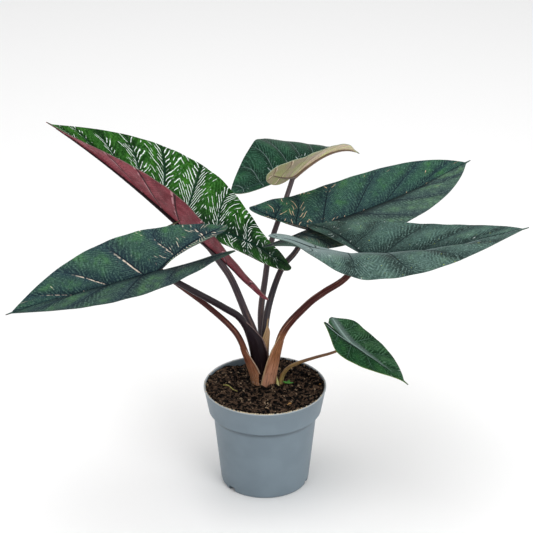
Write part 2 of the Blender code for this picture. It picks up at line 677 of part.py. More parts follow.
def main():
    clear_scene()
    plant = new_collection("Potted alocasia")
    finishes = {name: new_material(name, *look) for name, look in COLOURS.items()}
    dress(make_pot(plant), finishes["pot"])
    dress(make_soil(plant), finishes["soil"])
    dress(make_stem(plant), finishes["stem"])
    dress(make_bract(plant), finishes["bract"])

    side_stalk = dict(route=SIDE_STALK_ROUTE, radii=SIDE_STALK_RADII)
    stalks = {**STALKS, "leaf_6": side_stalk}
    for name, leaf in BLADES.items():
        leaf["rib_radius"] = 0.85 * stalks[name]["radii"][2]
    below = box("below_stalks", (-60, -60, 80), (60, 60, STEM_TOP + SEAT), plant)
    inner = []
    for name, stalk in stalks.items():
        leaf = BLADES[name]
        solid = stalk_solid(name + "_stalk", stalk, leaf, 0.0, plant)
        keepout = stalk_solid(name + "_keepout", stalk, leaf, SEAT + 0.08, plant)
        for other in inner:
            solid = combine(solid, other, "DIFFERENCE", plant)
        if name in STALKS:
            solid = combine(solid, below, "DIFFERENCE", plant)
        dress(solid, finishes["side_stalk" if name == "leaf_6" else "stalk"])
        blade = make_blade(name + "_blade", leaf, keepout, plant)
        dress(blade, finishes["young_blade" if name == "leaf_2" else "blade"])
        inner.append(keepout)
    for cutter in inner + [below]:
        bpy.data.objects.remove(cutter)


if __name__ == "__main__":
    main()
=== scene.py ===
# %% [markdown]
# # A potted alocasia, leaf by leaf
# The plant is a young alocasia in a round nursery pot. It has seven arrow-shaped leaves on long stalks,
# and each stalk widens at its foot into a sheath that wraps the younger stalks. The solids of the frame
# already have the right sizes and places, so this lesson dresses them: finer meshes made with the same
# formulas, veins, soil crumbs and finishes.

import math
from types import SimpleNamespace

import bmesh
import bpy
import numpy as np
from mathutils import Matrix, Vector, noise


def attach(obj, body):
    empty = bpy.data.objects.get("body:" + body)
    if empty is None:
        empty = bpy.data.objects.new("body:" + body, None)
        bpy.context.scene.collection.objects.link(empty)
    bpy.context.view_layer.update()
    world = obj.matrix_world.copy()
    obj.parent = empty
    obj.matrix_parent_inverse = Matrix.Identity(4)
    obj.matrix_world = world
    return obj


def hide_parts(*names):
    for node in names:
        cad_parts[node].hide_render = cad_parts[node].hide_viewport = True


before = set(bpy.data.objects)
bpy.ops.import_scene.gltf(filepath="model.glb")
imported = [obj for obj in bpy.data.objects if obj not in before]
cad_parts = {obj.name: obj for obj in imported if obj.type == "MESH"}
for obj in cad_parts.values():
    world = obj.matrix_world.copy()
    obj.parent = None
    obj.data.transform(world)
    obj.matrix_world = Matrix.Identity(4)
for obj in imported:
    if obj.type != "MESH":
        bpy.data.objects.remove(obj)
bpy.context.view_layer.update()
MM = 0.001

# %% [markdown]
# ## Camera and light
# A catalogue picture of a plant is taken from a little above, with a long lens, so that the pot's rim is
# a flat ellipse and nothing is distorted. The camera stands 2.2 m away, 26 degrees above the horizon.

# %% Camera
CAMERA_RISE = math.radians(26.0)
CAMERA_DISTANCE = 2.2
CAMERA_TARGET = Vector((0.0015, 0.0, 0.2326))
CAMERA_LENS = 155.73


def new_object(name, data):
    """An object that is in the scene from the start."""
    obj = bpy.data.objects.new(name, data)
    bpy.context.scene.collection.objects.link(obj)
    return obj


away = Vector((0.0, -math.cos(CAMERA_RISE), math.sin(CAMERA_RISE)))
camera = new_object("Camera", bpy.data.cameras.new("Camera"))
camera.data.lens = CAMERA_LENS
camera.data.sensor_width = 36.0
camera.data.clip_end = 50.0
camera.location = CAMERA_TARGET + away * CAMERA_DISTANCE
camera.rotation_euler = away.to_track_quat("Z", "Y").to_euler()
bpy.context.scene.camera = camera
print("camera at", [round(c, 3) for c in camera.location])

# %% [markdown]
# The picture has soft light from all round, a little more from the front right and from above. Three large
# area lights and a white surrounding do that. A white floor catches a faint shadow.

# %% Lights, surroundings and floor
LIGHT_AIM = Vector((0.0, 0.0, 0.2))
SURROUNDING_STRENGTH = 0.62
FLOOR_SIZE = 6.0
LIGHTS = {
    "Top light": ((-0.1, 0.1, 1.9), 1.7, 22.0),
    "Front light": ((1.1, -1.6, 1.1), 1.2, 18.0),
    "Left light": ((-1.8, -0.5, 0.9), 0.9, 1.5),
}
for name, (place, size, power) in LIGHTS.items():
    light = new_object(name, bpy.data.lights.new(name, "AREA"))
    light.data.size = size
    light.data.energy = power
    light.location = place
    light.rotation_euler = (light.location - LIGHT_AIM).to_track_quat("Z", "Y").to_euler()

world = bpy.data.worlds.new("Studio")
world.use_nodes = True
world.node_tree.nodes["Background"].inputs["Color"].default_value = (1.0, 1.0, 1.0, 1.0)
world.node_tree.nodes["Background"].inputs["Strength"].default_value = SURROUNDING_STRENGTH
bpy.context.scene.world = world
bpy.context.scene.view_settings.view_transform = "Standard"


def mesh_object(name, bm):
    """Makes an object of a bmesh that is ready, and frees the bmesh."""
    obj = new_object(name, bpy.data.meshes.new(name))
    bm.to_mesh(obj.data)
    bm.free()
    return obj


bm = bmesh.new()
bmesh.ops.create_grid(bm, x_segments=1, y_segments=1, size=FLOOR_SIZE)
floor = mesh_object("Floor", bm)
print("lights:", len(LIGHTS))

# %% [markdown]
# ## A short way to write materials
# Every finish below is a network of nodes. Written out in full, each takes a page, so a small helper adds
# a node, sets its inputs and links those that come from other nodes. Patterns read the place on the object
# in mm.

# %% Node helper
class Nodes:
    """Short calls for the nodes of one material."""

    def __init__(self, tree):
        self.tree = tree
        self.where = self.add("Mapping", self.add("TexCoord", out=3), None, None, (1 / MM, 1 / MM, 1 / MM))

    def put(self, socket, value):
        """Links or sets one input. None leaves it as it is."""
        if isinstance(value, bpy.types.NodeSocket):
            self.tree.links.new(value, socket)
        elif value is not None:
            socket.default_value = (*value, 1.0) if socket.type == "RGBA" else value

    def add(self, kind, *values, out=0, **settings):
        node = self.tree.nodes.new("ShaderNode" + kind)
        for key, value in settings.items():
            setattr(node, key, value)
        for socket, value in zip(node.inputs, values):
            self.put(socket, value)
        return node.outputs[out]

    def math(self, operation, *values):
        return self.add("Math", *values, operation=operation)

    def plus(self, first, second):
        return self.math("ADD", first, second)

    def minus(self, first, second):
        return self.math("SUBTRACT", first, second)

    def times(self, *values):
        total = values[0]
        for value in values[1:]:
            total = self.math("MULTIPLY", total, value)
        return total

    def off_whole(self, value):
        """How far a value is from the nearest whole number."""
        return self.math("PINGPONG", value, 0.5)

    def step(self, value, low, high, first=0.0, last=1.0):
        """Goes smoothly from first to last as value goes from low to high."""
        return self.add("MapRange", value, low, high, first, last, interpolation_type="SMOOTHSTEP")

    def noise(self, size, detail=3.0, roughness=0.5, where=None):
        """Cloudy values from 0 to 1, with blots about size mm across."""
        node = self.tree.nodes.new("ShaderNodeTexNoise")
        self.put(node.inputs["Vector"], self.where if where is None else where)
        node.inputs["Scale"].default_value = 1.0 / size
        node.inputs["Detail"].default_value = detail
        node.inputs["Roughness"].default_value = roughness
        return node.outputs["Fac"]

    def mix(self, share, first, second):
        node = self.tree.nodes.new("ShaderNodeMix")
        node.data_type = "RGBA"
        for name, value in (("Factor_Float", share), ("A_Color", first), ("B_Color", second)):
            self.put(next(s for s in node.inputs if s.identifier == name), value)
        return next(s for s in node.outputs if s.identifier == "Result_Color")


print("math, patterns and mixes in", sum(callable(call) for call in vars(Nodes).values()), "calls")

# %% [markdown]
# Colours go on like thin coats of paint: the first covers everything, and each later one only where its
# masks are near 1. A value that is the same all over goes straight to the shader.

# %% Painting helper
class Finish(Nodes):
    """A new material that is painted coat by coat."""

    def __init__(self, name, **settings):
        self.material = bpy.data.materials.new(name)
        self.material.use_nodes = True
        super().__init__(self.material.node_tree)
        self.shader = self.tree.nodes["Principled BSDF"]
        for key, value in settings.items():
            self.shader.inputs[key.replace("_", " ")].default_value = value
        self.colour = None

    def paint(self, colour, *masks):
        """Lays a colour over the earlier ones where all its masks are near 1."""
        self.colour = self.mix(self.times(*masks), self.colour, colour) if masks else colour

    def bump(self, height, strength, distance):
        node = self.tree.nodes.new("ShaderNodeBump")
        node.inputs["Strength"].default_value = strength
        node.inputs["Distance"].default_value = distance * MM
        self.put(node.inputs["Height"], height)
        self.put(self.shader.inputs["Normal"], node.outputs["Normal"])

    def wear(self, roughness=None):
        """Gives the painted colour and the roughness to the shader, and the material to the caller."""
        self.put(self.shader.inputs["Base Color"], self.colour)
        self.put(self.shader.inputs["Roughness"], roughness)
        return self.material


def toned(colour, share, lift=0.0):
    """The same colour darker or lighter."""
    return tuple(min(1.0, share * c + lift) for c in colour)


floor_finish = Finish("Pale floor")
floor_finish.paint((0.93, 0.93, 0.93))
floor.data.materials.append(floor_finish.wear(0.9))
print("floor finish ready")

# %% [markdown]
# ## From bmesh to a finished piece
# Each piece ends the same way: its mesh gets an object at the origin, smooth shading with crisp edges
# where the surface turns sharply, its finishes, and a place on the frame. The frame's only body is root.
# Thin sheets are drawn as one surface and get their thickness here. Two more helpers begin a piece: one
# spins a profile, the other lays a flat grid that is then rolled or bent. The grid brings a UV map along.

# %% Finishing helper
def keep_shape(obj):
    """Makes what the modifiers show the object's own mesh."""
    bpy.context.view_layer.update()
    shown = obj.evaluated_get(bpy.context.evaluated_depsgraph_get())
    obj.data = bpy.data.meshes.new_from_object(shown)
    obj.modifiers.clear()


def finished(name, bm, finishes, replaces=(), solidify=0.0, crease=50.0):
    """Makes the object, gives it a thickness if asked, and seats it on the frame."""
    obj = mesh_object(name, bm)
    for finish in finishes:
        obj.data.materials.append(finish)
    if solidify:
        shell = obj.modifiers.new("Thickness", "SOLIDIFY")
        shell.thickness = solidify * MM
        shell.offset = 0.0
        shell.material_offset = 1
        shell.material_offset_rim = min(2, len(finishes) - 1)
        keep_shape(obj)
    obj.data.shade_smooth()
    obj.data.set_sharp_from_angle(angle=math.radians(crease))
    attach(obj, "root")
    if replaces:
        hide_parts(*replaces)
    return obj

# %% Turned shapes and grids
def turned(bm, profile, steps):
    """Spins an open profile of (radius, height) points in mm about Z."""
    points = [bm.verts.new((r * MM, 0.0, z * MM)) for r, z in profile]
    edges = [bm.edges.new(pair) for pair in zip(points, points[1:])]
    turn = dict(cent=(0, 0, 0), axis=(0, 0, 1), angle=2 * math.pi, steps=steps, use_merge=True)
    bmesh.ops.spin(bm, geom=points + edges, **turn)
    bmesh.ops.remove_doubles(bm, verts=bm.verts, dist=0.01 * MM)
    bmesh.ops.recalc_face_normals(bm, faces=bm.faces)


def mapped_mesh():
    bm = bmesh.new()
    bm.loops.layers.uv.new("Veins")
    return bm


def grid(bm, rows, columns):
    """A flat grid. Gives each vertex with how far along and across it is, from 0 to 1."""
    made = bmesh.ops.create_grid(bm, x_segments=rows, y_segments=columns, size=1.0, calc_uvs=True)
    return [(vert, (vert.co.x + 1) / 2, (vert.co.y + 1) / 2) for vert in made["verts"]]


sample = mapped_mesh()
print("a grid of 3 by 2 has", len(grid(sample, 3, 2)), "vertices")
sample.free()

# %% [markdown]
# ## The pot
# A nursery pot is thin moulded plastic: a tapered body, a deep collar that starts at a step, a thin rim
# and a foot with notches that let water out. It is a turned shape, so a profile is spun round the axis. The
# solid in the frame is the same profile with fewer sides; here its corners are rounded too.

# %% Pot profile
POT_HEIGHT = 104.0
RIM_RADIUS = 60.0
RIM_BAND = 2.0
LIP_RADIUS = 55.3
LIP_HEIGHT = 78.6
BODY_TOP_RADIUS = 50.6
BASE_RADIUS = 43.0
WALL = 1.4
FLOOR = 1.6
FLOOR_RADIUS = 30.0
GROOVE_HEIGHT = 4.6
POT_STEPS = 144
POT_CREASE = 38.0


def near(radius, height, *offsets):
    """Points of the profile round one of its corners."""
    return [(radius + outward, height + upward) for outward, upward in offsets]


POT_OUTSIDE = [
    *near(RIM_RADIUS, POT_HEIGHT, (-1.3, -0.1), (-0.9, 0), (-0.4, -0.05), (-0.05, -0.4), (0, -0.9)),
    *near(RIM_RADIUS, POT_HEIGHT, (-0.15, -1.9), (-0.55, -2.3)),
    *near(LIP_RADIUS, LIP_HEIGHT, (0.1, 1.0), (0, 0.4), (-0.25, 0), (-0.7, -0.25), (-1.3, -0.4)),
    *near(BODY_TOP_RADIUS, LIP_HEIGHT, (0.6, -3.9), (0.15, -4.5), (0, -5.4)),
    *near(BASE_RADIUS, 0, (0.5, 4.2), (0.2, 2.6), (-0.3, 1.1), (-0.9, 0.3), (-1.5, 0), (-2.6, 0)),
    (BASE_RADIUS - 3.0, GROOVE_HEIGHT), (FLOOR_RADIUS + 1.0, GROOVE_HEIGHT), (FLOOR_RADIUS, 0.0), (0.0, 0.0),
]
POT_INSIDE = [
    (0.0, FLOOR), (FLOOR_RADIUS - 1.4, FLOOR), (FLOOR_RADIUS - 0.4, GROOVE_HEIGHT + FLOOR),
    (BASE_RADIUS - WALL, GROOVE_HEIGHT + FLOOR), (BODY_TOP_RADIUS - WALL, LIP_HEIGHT - 4.4),
    (LIP_RADIUS - WALL - 0.9, LIP_HEIGHT + 0.8), (RIM_RADIUS - WALL - 0.5, POT_HEIGHT - RIM_BAND),
    *near(RIM_RADIUS, POT_HEIGHT, (-1.6, -0.4), (-1.3, -0.1)),
]
print("pot profile:", len(POT_OUTSIDE) + len(POT_INSIDE), "points")

# %% [markdown]
# The plastic is blue-grey and almost matt. Up close it is not one colour: it has faint clouds from the
# moulding, tiny scuffs, and a trace of soil dust that clings near the rim and at the foot. A painted shadow
# darkens the step under the collar, and a painted highlight lightens the rim's edge.

# %% Pot finish
def pot_plastic():
    skin = Finish("Blue-grey plastic", Specular_IOR_Level=0.4)
    height = skin.add("SeparateXYZ", skin.where, out=2)
    skin.paint((0.152, 0.198, 0.234))
    skin.paint((0.167, 0.217, 0.255), skin.step(skin.noise(26.0, 2.0), 0.35, 0.65))
    near_rim = skin.step(height, POT_HEIGHT - 7.0, POT_HEIGHT - 0.5)
    near_foot = skin.step(height, 6.0, 0.5)
    dust = skin.step(skin.noise(2.2, 6.0, 0.7), 0.55, 0.72)
    skin.paint((0.34, 0.27, 0.19), skin.math("MAXIMUM", near_rim, near_foot), dust, 0.22)
    # Painted shadow on the step under the collar.
    below_collar = skin.step(height, LIP_HEIGHT + 0.6, LIP_HEIGHT - 0.4)
    above_body = skin.step(height, LIP_HEIGHT - 7.5, LIP_HEIGHT - 3.5)
    skin.paint((0.055, 0.072, 0.086), below_collar, above_body, 0.55)
    # Painted highlight: a pale band along the rim's edge.
    skin.paint((0.55, 0.57, 0.57), skin.step(height, POT_HEIGHT - 1.3, POT_HEIGHT - 0.2), 0.55)
    grain = skin.noise(0.6, 2.0)
    skin.bump(grain, 0.12, 0.12)
    return skin.wear(skin.step(grain, 0.3, 0.7, 0.44, 0.56))


pot_skin = pot_plastic()
print("pot finish:", len(pot_skin.node_tree.nodes), "nodes")

# %% [markdown]
# Three notches in the foot let water run out when the pot stands on a table. A block is turned to each
# place and cut away with a boolean, which is simpler than leaving gaps in a spun shape.

# %% Drain notches
NOTCH_WIDTH, NOTCH_HEIGHT, NOTCH_DEPTH = 8.5, 5.0, 5.0
NOTCH_ANGLES = (-139.0, -19.0, 101.0)
PAST_WALL, BELOW_FOOT = 3.0, 1.0


def cut_notches(pot):
    """Cuts the drain notches with blocks that reach a little past the wall and the foot."""
    block = Vector((NOTCH_DEPTH + PAST_WALL, NOTCH_WIDTH, NOTCH_HEIGHT + BELOW_FOOT)) * MM
    middle = Vector((BASE_RADIUS + (PAST_WALL - NOTCH_DEPTH) / 2, 0.0, (NOTCH_HEIGHT - BELOW_FOOT) / 2)) * MM
    for angle in NOTCH_ANGLES:
        bm = bmesh.new()
        bmesh.ops.create_cube(bm, size=1.0)
        bmesh.ops.scale(bm, vec=block, verts=bm.verts)
        bmesh.ops.translate(bm, vec=middle, verts=bm.verts)
        turn = Matrix.Rotation(math.radians(angle), 3, "Z")
        bmesh.ops.rotate(bm, cent=(0, 0, 0), matrix=turn, verts=bm.verts)
        cutter = mesh_object("notch", bm)
        cut = pot.modifiers.new("Notch", "BOOLEAN")
        cut.operation = "DIFFERENCE"
        cut.object = cutter
        keep_shape(pot)
        bpy.data.objects.remove(cutter)
    pot.data.shade_smooth()
    pot.data.set_sharp_from_angle(angle=math.radians(POT_CREASE))


print("notches:", len(NOTCH_ANGLES), "each", NOTCH_WIDTH, "mm wide")

# %% Pot
bm = bmesh.new()
turned(bm, POT_OUTSIDE + POT_INSIDE, POT_STEPS)
pot = finished("pot_shell", bm, [pot_skin], ("pot",), crease=POT_CREASE)
cut_notches(pot)
print("pot:", len(pot.data.polygons), "faces")

# %% [markdown]
# ## The shape of a blade
# An alocasia blade is two halves that meet at the midrib like an open book, and behind the stalk each half
# runs on into a rear lobe. It is easiest to draw flat and bend afterwards. First come the flat margins,
# then rows that run from the rib to the margin just as the side veins do, then the bending: the midrib
# climbs, droops and turns, each half folds up or down, and the edge waves.
# Making rows that follow the veins means the relief and the finish can use the same two numbers: how far
# along the rib a point is, and how far out.
# The table has a column for each leaf, 1 to 7, in mm and degrees. A pair is for the left and right half,
# except that wave gives the height of the waves and how many there are.

# %% Leaf sizes and postures
LEAF_TABLE = dict(
    # where the stalk meets the blade, then the flat blade: its sizes and how its margins curve
    insertion=((-97, -95, 274.5), (-79, 11, 271), (28, 118, 275), (43, 59, 245), (92, -32, 261),
               (82, -44, 173), (-118, -17, 262.4)),
    length=(143.5, 164, 139, 182.5, 161, 68, 84),
    half_width=((46.5, 48), (52, 60), (56, 40), (50, 52), (52, 52), (25.5, 26.5), (24, 23)),
    lobe=(88, 127, 76, 63.5, 104, 33, 46),
    spread=((35, 33), (33, 35), (22, 29), (35.5, 28), (45, 47), (12.5, 9.5), (24, 20)),
    sinus=(1, 1, 1, 1, 1, 30, 1),
    tip=((1.1, 1.2), (0.4, 0.9), (0.4, 0.1), (2.2, 2.2), (2.0, 1.3), (1.6, 0.4), (1.0, 1.0)),
    widest=((0.02, 0.02), (0.05, -0.05), (0.13, -0.05), (0.01, 0.0), (0.0, -0.02), (-0.06, 0.04),
            (0.02, 0.02)),
    full=((0.38, 0.47), (0.6, 0.75), (0.2, 0.36), (0.34, 0.36), (0.26, 0.5), (0.49, 0.35), (0.36, 0.36)),
    blunt=((0.06, 0.18), (0.1, 0.14), (0.21, 0.15), (0.18, 0.13), (0.15, 0.04), (0.18, 0.16), (0.13, 0.13)),
    bay=(((0.5, 0.2), (0.34, 0.2)), ((0.35, 0.19), (0.5, 0.13)), ((0.42, 0.1), (0.5, 0.04)),
         ((0.16, 0.2), (0.42, 0.13)), ((0.26, 0.16), (0.41, 0.08)),
         ((0.42, 0.13), (0.42, 0.13)), ((0.42, 0.13), (0.42, 0.13))),
    # the midrib: where it points, how that changes towards the tip, and how the lobes tilt behind it
    heading=(192, 158, 57, 19, -17, -33, 176),
    pitch=(-12, 36, 7, 9, 9.5, -21, -36),
    roll=(-2.5, -11.5, 1, 12, -8, 1, 19),
    twist=(-11, 1, -18, 10, 9, 1, 0),
    droop=(0, 11.5, 40, -9, -16, 3, 6),
    sweep=(0, 0, 3, 11, 5.5, 0, 0),
    back=((-14, 10), (4, -1), (-7, -7), (-12, -3), (3, -1), (-19, -14), (4, 4)),
    # the halves: how far they fold up from the rib and curl on the way out, the lobes too, and the wavy edge
    fold=((19, 32), (53, 32), (51, 53), (14.5, 15), (29, 19), (7.5, 7), (8, 8)),
    fold_fade=((1, 1), (0.95, 0.95), (0, 0), (1, 1), (0.1, 0.4), (1, 1), (1, 1)),
    lobe_fold=((30, 11.5), (32, -13), (23, 71), (31, 30), (21, 80), (18, 21), (8, 8)),
    curl=((15, 8.5), (-20, 0), (30, 2), (17.5, 3), (13, 46), (8, 8), (6, 6)),
    wave=((0.7, 5), (0.7, 7), (0.6, 5), (0.7, 6), (0.7, 6), (0.4, 4), (0.5, 5)),
)
BLADES = {
    f"leaf_{number + 1}": {key: column[number] for key, column in LEAF_TABLE.items()} for number in range(7)
}
print("blades:", {name: leaf["length"] + leaf["lobe"] for name, leaf in BLADES.items()}, "mm long")

# %% Flat margins
FRONT_POINTS, LOBE_POINTS = 120, 90


def ease(t):
    t = np.clip(t, 0.0, 1.0)
    return t * t * (3 - 2 * t)


def bezier(a, b, c, d, count):
    t = np.linspace(0, 1, count)[:, None]
    a, b, c, d = (np.array(p, float) for p in (a, b, c, d))
    return (1 - t) ** 3 * a + 3 * (1 - t) ** 2 * t * b + 3 * (1 - t) * t**2 * c + t**3 * d


def flat_margins(leaf, half):
    """Outer and inner margin of one half, x along the midrib and y out from it, and the rear lobe's axis."""
    length, width, lobe = leaf["length"], leaf["half_width"][half], leaf["lobe"]
    spread = math.radians(leaf["spread"][half])
    axis = np.array([-math.cos(spread), math.sin(spread)])
    outward = np.array([math.sin(spread), math.cos(spread)])
    lobe_tip = lobe * axis
    round_tip = leaf["blunt"][half] * lobe
    shoulder = np.array([length - 6.0, 0.9])
    widest = np.array([leaf["widest"][half] * length, width])
    narrowing = shoulder + (-0.20 * length, 0.32 * width * leaf["tip"][half])
    front = bezier(shoulder, narrowing, widest + (0.44 * length, 0), widest, FRONT_POINTS)
    stays_wide = widest - (leaf["full"][half] * lobe, 0)
    before_tip = lobe_tip + 1.6 * round_tip * outward - 0.25 * lobe * axis
    rear = bezier(widest, stays_wide, before_tip, lobe_tip, LOBE_POINTS)
    outer = np.vstack([[(length, 0)], front, rear[1:]])
    back, out = leaf["bay"][half]
    bay = (min(-back * lobe, -leaf["sinus"] - 2), out * lobe)
    inner = bezier(lobe_tip, lobe_tip - 0.9 * round_tip * outward, bay, (-leaf["sinus"], 0.0), LOBE_POINTS)
    return outer, np.vstack([inner, [(0.0, 0.0)]]), axis


outer, inner, axis = flat_margins(BLADES["leaf_1"], 0)
print("margins of half a blade:", len(outer), "and", len(inner), "points")

# %% Points along a line
def lengths_along(line):
    """How far along the line each of its points is."""
    return np.concatenate([[0], np.cumsum(np.linalg.norm(np.diff(line, axis=0), axis=1))])


def read_at(at, marks, values):
    """Reads columns of values that are known at the marks at the places between them."""
    return np.stack([np.interp(at, marks, column) for column in values.T], axis=-1)


def along_line(line, shares):
    """Points of a line at the given shares of its length."""
    steps = lengths_along(line)
    return read_at(np.array(shares) * steps[-1], steps, line)


print("outer margin of leaf_1:", round(lengths_along(outer)[-1]), "mm")

# %% [markdown]
# A row leaves the rib and meets the margin further forward, which is what a sweep above 1 does. Its middle
# sags towards the base by a share of the blade's length. The ribs of the lobes stop short of their tips.

# %% Rows that run like the side veins
FRONT_ROWS = 96
LOBE_ROWS = 48
ALL_ROWS = FRONT_ROWS + 2 * LOBE_ROWS
COLUMNS = 30
VEIN_SWEEP = 2.1
VEIN_SAG = 13.0 / 160
RIB_END = 0.93


def blade_rows(leaf, half):
    """For each row, its point on the rib, its point on the margin, and how its middle sags to the base."""
    outer, inner, axis = flat_margins(leaf, half)
    steps = lengths_along(outer)
    share = steps[np.argmax(outer[:, 0] < 0.42 * leaf["half_width"][half])] / steps[-1]
    front = np.linspace(0, 1, FRONT_ROWS + 1)
    lobe = np.linspace(0, 1, LOBE_ROWS + 1)[1:]
    margin = np.vstack([
        along_line(outer, front**VEIN_SWEEP * share),
        along_line(outer, share + (1 - share) * lobe),
        along_line(inner, lobe),
    ])
    rib_end = RIB_END * leaf["lobe"] * axis
    ribs = np.vstack([
        np.stack([leaf["length"] * (1 - front), 0 * front], axis=1),
        lobe[:, None] * rib_end,
        (1 - lobe)[:, None] * rib_end,
    ])
    wide = VEIN_SAG * leaf["length"]
    sag = np.vstack([
        np.outer(np.sin(math.pi * front) * front, (-wide, 0)),
        np.outer(np.sin(math.pi * lobe), -0.8 * wide * axis),
        np.outer(np.sin(math.pi * lobe), -0.5 * wide * axis),
    ])
    return ribs, margin, sag


print("rows over half a blade:", len(blade_rows(BLADES["leaf_1"], 0)[0]))

# %% Bending the flat blade
STEPS_BEHIND, STEPS_AHEAD = 30, 60
CURL_OVER = 40.0


def midrib_frame(leaf, half):
    """Along the midrib and on behind it: x, then its point, sideways and upward direction."""
    length, lobe = leaf["length"], leaf["lobe"]
    behind_stalk = np.linspace(-lobe, 0, STEPS_BEHIND, endpoint=False)
    x = np.concatenate([behind_stalk, np.linspace(0, length, STEPS_AHEAD + 1)])
    ahead, behind = np.clip(x / length, 0, 1), np.clip(-x / lobe, 0, 1)
    pitch = np.radians(leaf["pitch"] - leaf["droop"] * ahead**1.3 + leaf["back"][half] * behind)
    yaw = np.radians(leaf["heading"] + leaf["sweep"] * ahead)
    roll = np.radians(leaf["roll"] + leaf["twist"] * ahead)[:, None]
    along = np.stack([np.cos(pitch) * np.cos(yaw), np.cos(pitch) * np.sin(yaw), np.sin(pitch)], axis=1)
    steps = (along[1:] + along[:-1]) / 2 * np.diff(x)[:, None]
    points = np.vstack([np.zeros(3), np.cumsum(steps, axis=0)])
    points += np.array(leaf["insertion"]) - points[STEPS_BEHIND]
    left = np.stack([-np.sin(yaw), np.cos(yaw), 0 * yaw], axis=1)
    up = np.cross(along, left)
    return x, points, left * np.cos(roll) + up * np.sin(roll), up * np.cos(roll) - left * np.sin(roll)


def bend_blade(leaf, half, flat, lift=0.0):
    """Flat points of one half, bent to the leaf's posture. lift raises them off the surface."""
    x, *lines = midrib_frame(leaf, half)
    centre, left, up = (read_at(flat[:, 0], x, line) for line in lines)
    out = flat[:, 1]
    behind = ease(-flat[:, 0] / leaf["lobe"] + 0.15)
    ahead = np.clip(flat[:, 0] / leaf["length"], 0, 1)
    fold = leaf["fold"][half] * (1 - (1 - leaf["fold_fade"][half]) * ahead)
    start = np.radians(fold + (leaf["lobe_fold"][half] - fold) * behind)
    turn = -math.radians(leaf["curl"][half] or 0.01) / CURL_OVER * out
    small = np.abs(turn) < 1e-6
    safe = np.where(small, 1.0, turn)
    arc = np.where(small, 1.0, np.sin(turn) / safe) * out
    rise = np.where(small, 0.0, (1 - np.cos(turn)) / safe) * out
    height, count = leaf["wave"]
    edge = np.clip(out / leaf["half_width"][half], 0, 1) ** 2
    wave = 0.5 * height * edge * np.sin(2 * math.pi * count * flat[:, 0] / leaf["length"] + half)
    tilt = start + turn
    sideways = np.cos(start) * arc - np.sin(start) * rise - np.sin(tilt) * lift
    upward = np.sin(start) * arc + np.cos(start) * rise + wave + np.cos(tilt) * lift
    side = 1 if half == 0 else -1
    return centre + left * (side * sideways)[:, None] + up * upward[:, None]


print("tips at", {name: midrib_frame(leaf, 0)[1][-1].round().tolist() for name, leaf in BLADES.items()})

# %% [markdown]
# ## Relief
# Between its side veins the blade swells like a quilt, and along the midrib it has a shallow channel. Both
# are real height here, not only shading, so they catch the light from any side. A finer relief between
# the smallest veins is left to the finish, which also needs three marks on each vertex.

# %% One blade as a mesh
MARKS = ("reach", "spacing", "half")


def vein_relief(number, out, width, quilt):
    """Height in mm: quilted between the veins, sunk along the midrib."""
    from_vein = np.abs(number - np.round(number)) * 2
    swell = 1 - (1 - from_vein) ** 2.2
    envelope = np.sin(math.pi * np.clip(out, 0, 1) ** 0.7) ** 1.1
    channel = np.exp(-((out * width / 1.8) ** 2))
    return quilt * swell * envelope - 0.5 * channel


def blade_sheet(leaf, veins, quilt):
    """The blade's two halves as grids whose rows follow the side veins."""
    bm = mapped_mesh()
    marks = [bm.verts.layers.float.new(key) for key in MARKS]
    for half in (0, 1):
        ribs, margin, sag = blade_rows(leaf, half)
        verts, along, out = zip(*grid(bm, ALL_ROWS, COLUMNS))
        row = (np.array(along) * ALL_ROWS).round().astype(int)
        out = np.array(out)[:, None]
        flat = ribs[row] * (1 - out) + margin[row] * out + sag[row] * 4 * out * (1 - out) * out
        reach = np.linalg.norm(margin - ribs, axis=1)[row]
        number = row / FRONT_ROWS * veins
        lift = vein_relief(number, out[:, 0], reach, quilt * np.clip(reach / 30, 0.15, 1))
        spacing = np.where(row <= FRONT_ROWS, leaf["length"], 2 * leaf["lobe"]) / veins
        for vert, place, *values in zip(verts, bend_blade(leaf, half, flat, lift), reach, spacing):
            vert.co = Vector(place) * MM
            for mark, value in zip(marks, (*values, half)):
                vert[mark] = float(value)
        if half == 0:
            bmesh.ops.reverse_faces(bm, faces=list({f for v in verts for f in v.link_faces}))
    bmesh.ops.remove_doubles(bm, verts=bm.verts, dist=0.02 * MM)
    return bm


print("grid of half a blade:", ALL_ROWS, "by", COLUMNS)

# %% [markdown]
# ## Tubes
# Stalks, ribs and roots are tubes. A grid rolled round a smooth route makes one, and its ends are closed
# by filling the two open rings.

# %% Routes and tubes
def smooth_route(points, step):
    """A smooth curve through the points, read off about every step mm."""
    points = np.array(points, float)
    ends = np.vstack([2 * points[0] - points[1], points, 2 * points[-1] - points[-2]])
    fine = []
    for a, b, c, d in zip(ends, ends[1:], ends[2:], ends[3:]):
        t = np.linspace(0, 1, 12, endpoint=False)[:, None]
        bend = (2 * a - 5 * b + 4 * c - d) * t**2 + (3 * b - a - 3 * c + d) * t**3
        fine.append(0.5 * (2 * b + (c - a) * t + bend))
    fine = np.vstack(fine + [points[-1:]])
    length = lengths_along(fine)[-1]
    return along_line(fine, np.linspace(0, 1, max(3, int(round(length / step)) + 1)))


